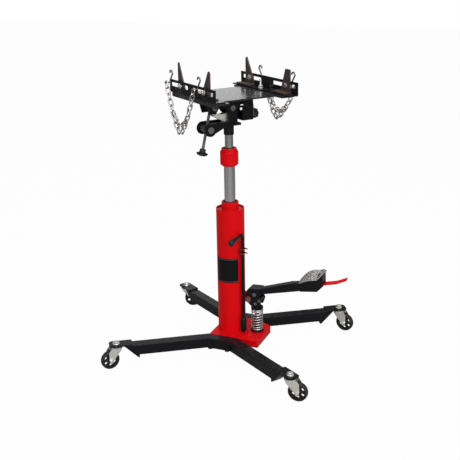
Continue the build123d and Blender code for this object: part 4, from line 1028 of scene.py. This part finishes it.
def make_lamp(name, place, target, width, height, power):
    """Soft rectangular lamp aimed at a point."""
    data = bpy.data.lights.new(name, "AREA")
    data.shape = "RECTANGLE"
    data.size = width
    data.size_y = height
    data.energy = power
    lamp = bpy.data.objects.new(name, data)
    bpy.context.scene.collection.objects.link(lamp)
    aim = Vector(target) - Vector(place)
    lamp.visible_camera = False
    lamp.matrix_world = Matrix.Translation(place) @ aim.to_track_quat("-Z", "Y").to_matrix().to_4x4()


class JACK_OT_stage(bpy.types.Operator):
    """Floor, studio light and camera"""

    bl_idname = "jack.stage"
    bl_label = "Stage"

    def execute(self, context):
        make_camera()
        make_world()
        make_floor()
        power = context.scene.jack_stage.lamps
        middle = (0.0, 0.0, 0.55)
        make_lamp("key", (1.9, -3.2, 2.3), middle, 2.4, 2.4, 90.0 * power)
        make_lamp("fill", (-2.6, -2.6, 1.7), middle, 2.2, 2.6, 24.0 * power)
        make_lamp("top", (0.2, 0.1, 3.4), middle, 1.6, 1.6, 84.0 * power)
        make_lamp("back", (-2.62, 3.62, 1.8), (0.0, 0.0, 1.07), 2.6, 0.9, 11.5 * power)
        return {"FINISHED"}


# ---------------------------------------------------------------------
# Chains: inner loops of the two hanging chains
# ---------------------------------------------------------------------
LINK_L = 34.0
LINK_W = 21.5
WIRE_R = 2.4
LEFT_CHAIN_U = -174.0
RIGHT_CHAIN_U = 206.0


def link_path(steps=14):
    """Stadium centre line of one link in its own plane: two half circles joined by straights."""
    r = LINK_W / 2 - WIRE_R
    half = LINK_L / 2 - LINK_W / 2
    right = arc(half, 0, r, -90, 90, steps)
    left = arc(-half, 0, r, 90, 270, steps)
    return np.array([(x, y, 0.0) for x, y in right + left])


def hanging_line(v0, z0, v1, z1, low, count):
    """Evenly spaced (v, z) points along a catenary-like V: height falls with a power of the distance."""
    t = np.linspace(-1, 1, 1201)
    v = (v0 + v1) / 2 + t * (v1 - v0) / 2
    ends = z0 + (z1 - z0) * (t + 1) / 2
    z = low + (ends - low) * (0.7 * np.abs(t) ** 1.3 + 0.3 * t * t)
    step = np.hypot(np.diff(v), np.diff(z))
    run = np.concatenate([[0], np.cumsum(step)])
    at = np.linspace(0, run[-1], count)
    return np.stack([np.interp(at, run, v), np.interp(at, run, z)], -1), run[-1]


def chain_piece(name, body, u, v0, z0, v1, z1, low):
    """A loop of interlinked oval links in a plane of constant u, flat and edge-on in turn."""
    pitch = LINK_L - 4 * WIRE_R - 0.9
    length = hanging_line(v0, z0, v1, z1, low, 2)[1]
    knots = hanging_line(v0, z0, v1, z1, low, int(round(length / pitch)) + 1)[0]
    soup = Soup()
    shape = link_path()
    for n, (a, b) in enumerate(zip(knots, knots[1:])):
        along = np.array([0.0, *(b - a)])
        along /= np.linalg.norm(along)
        flat = np.array([1.0, 0, 0])
        other = np.cross(along, flat)
        tilt = 0.16 * math.sin(n * 2.4)
        first, second = (flat, other) if n % 2 else (other, flat)
        first = first * math.cos(tilt) + second * math.sin(tilt)
        middle = np.array([u, *((a + b) / 2)])
        path = middle + shape[:, :1] * along + shape[:, 1:2] * first
        soup.grid(saddle_turn(swept(path, WIRE_R - 0.05, 12, True)), wrap_rows=True, wrap_cols=True)
    return soup.piece(name, FINISH["chain_zinc"], body, "zinc", 60)


class JACK_OT_chains(bpy.types.Operator):
    """Inner loop of each hanging chain"""

    bl_idname = "jack.chains"
    bl_label = "Chains"

    def execute(self, context):
        chain_piece("chain_left_loop", "left_bracket", LEFT_CHAIN_U, 3, 994, 134, 997, 952)
        chain_piece("chain_right_loop", "right_bracket", RIGHT_CHAIN_U, -85, 1000, 22, 1040, 984)
        return {"FINISHED"}


# ---------------------------------------------------------------------
# Softened frame parts
# ---------------------------------------------------------------------
LONGEST_LINK = 40.0
PRESSED = {
    "base_box": 1.6, "front_leg": 2.2, "rear_leg": 2.2, "leg_end_plates": 1.2, "column_head": 1.2,
    "pedal_yoke": 2.0, "pedal_arm": 2.0, "pedal_tail": 1.0, "pedal_lugs": 1.0, "pump_body": 0.8,
    "pump_plunger": 0.8, "release_sleeve": 1.0, "rod_guide": 0.8, "saddle_head": 1.6,
    "head_gusset": 1.0, "saddle_cradle": 1.0, "saddle_table": 0.9, "leg_bolts": 0.7,
    "pivot_bosses": 0.8, "yoke_bolts": 0.6, "caster_king_bolts": 0.6, "tilt_trunnion": 0.9,
    "cradle_pin": 0.8, "cradle_pins": 0.8, "bracket_clamps": 0.5, "caster_races": 0.5,
    "pedal_pivot_pin": 0.8,
}
REPAINTED = {"pump_body": "black_paint", "pump_plunger": "black_paint", "pedal_pivot_pin": "dark_steel"}


class JACK_OT_pressed(bpy.types.Operator):
    """Rolled edges on every pressed, welded and machined part"""

    bl_idname = "jack.pressed"
    bl_label = "Pressed parts"

    def execute(self, context):
        for node, width in PRESSED.items():
            softened(node, width, REPAINTED.get(node))
        for name in ARM_BOLTS:
            softened("arm_" + name, 0.8, bolt_finish="bright_zinc", bolt_v=ARM_BOLTS[name])
        for side in ("left", "right"):
            softened("bracket_" + side, 0.8, "bracket_paint")
            softened("chain_" + side, None, "dark_steel", "chain_zinc", LONGEST_LINK)
        return {"FINISHED"}


class JACK_OT_finishes(bpy.types.Operator):
    """Finishes by material slot, put on every frame part"""

    bl_idname = "jack.finishes"
    bl_label = "Finishes"

    def execute(self, context):
        FINISH.update(make_finishes())
        slots = {part["node"]: part["material_slot"] for part in frame["record"]["subparts"]}
        for name, node in NODES.items():
            node.data.materials.clear()
            node.data.materials.append(FINISH[slots[name]])
        return {"FINISHED"}


# ---------------------------------------------------------------------
# Settings, panel and registration
# ---------------------------------------------------------------------
class JackColours(bpy.types.PropertyGroup):
    """Colours a user would change."""

    red: bpy.props.FloatVectorProperty(
        name="Enamel red", description="Column, base and collar", subtype="COLOR", size=3,
        min=0.0, max=1.0, default=(0.55, 0.002, 0.004),
    )
    black: bpy.props.FloatVectorProperty(
        name="Enamel black", description="Legs, pedal, head and brackets", subtype="COLOR", size=3,
        min=0.0, max=1.0, default=(0.006, 0.0056, 0.0075),
    )


class JackSizes(bpy.types.PropertyGroup):
    """Sizes of the modelled details."""

    rounding: bpy.props.FloatProperty(
        name="Rounding", description="Rounding of edges against each part's own size",
        subtype="FACTOR", default=1.0, min=0.2, max=1.5,
    )
    spring_wire: bpy.props.FloatProperty(
        name="Spring wire", description="Wire diameter of the return spring", unit="LENGTH",
        default=0.0046, min=0.002, max=0.0065,
    )
    spring_turns: bpy.props.IntProperty(
        name="Spring turns", description="Turns of the return spring with its closed ends",
        default=9, min=5, max=11,
    )
    tread_height: bpy.props.FloatProperty(
        name="Tread", description="Height of the foot pad's checker bars", unit="LENGTH",
        default=0.0007, min=0.0, max=0.00074,
    )


class JackStage(bpy.types.PropertyGroup):
    """Light of the stage."""

    dome: bpy.props.FloatProperty(
        name="Dome", description="Strength of the studio dome", default=1.0, min=0.0, max=4.0
    )
    lamps: bpy.props.FloatProperty(
        name="Lamps", description="Power of the lamps against their plain level",
        default=1.0, min=0.0, max=4.0,
    )
    floor_white: bpy.props.FloatProperty(
        name="Floor white", description="Share of plain white in the floor as the camera sees it",
        subtype="FACTOR", default=0.98, min=0.0, max=1.0,
    )


STEPS = (
    JACK_OT_finishes, JACK_OT_pressed, JACK_OT_wheels, JACK_OT_collar, JACK_OT_spring,
    JACK_OT_screw, JACK_OT_star_knob, JACK_OT_release, JACK_OT_pad, JACK_OT_chains, JACK_OT_stage,
)
SETTINGS = (("jack_colours", JackColours), ("jack_sizes", JackSizes), ("jack_stage", JackStage))


class JACK_PT_panel(bpy.types.Panel):
    """Builds the jack's looks piece by piece"""

    bl_label = "Transmission Jack"
    bl_space_type = "VIEW_3D"
    bl_region_type = "UI"
    bl_category = "Jack"

    def draw(self, context):
        for step in STEPS:
            self.layout.operator(step.bl_idname)
        for name, group in SETTINGS:
            box = self.layout.box()
            for setting in group.__annotations__:
                box.prop(getattr(context.scene, name), setting)


def register():
    for name, group in SETTINGS:
        bpy.utils.register_class(group)
        setattr(bpy.types.Scene, name, bpy.props.PointerProperty(type=group))
    for step in STEPS:
        bpy.utils.register_class(step)
    bpy.utils.register_class(JACK_PT_panel)


def unregister():
    bpy.utils.unregister_class(JACK_PT_panel)
    for step in reversed(STEPS):
        bpy.utils.unregister_class(step)
    for name, group in reversed(SETTINGS):
        delattr(bpy.types.Scene, name)
        bpy.utils.unregister_class(group)


def main():
    """Build every piece in order."""
    register()
    bpy.context.scene.view_settings.view_transform = "Standard"
    for step in STEPS:
        family, action = step.bl_idname.split(".")
        getattr(getattr(bpy.ops, family), action)()


if __name__ == "__main__":
    main()
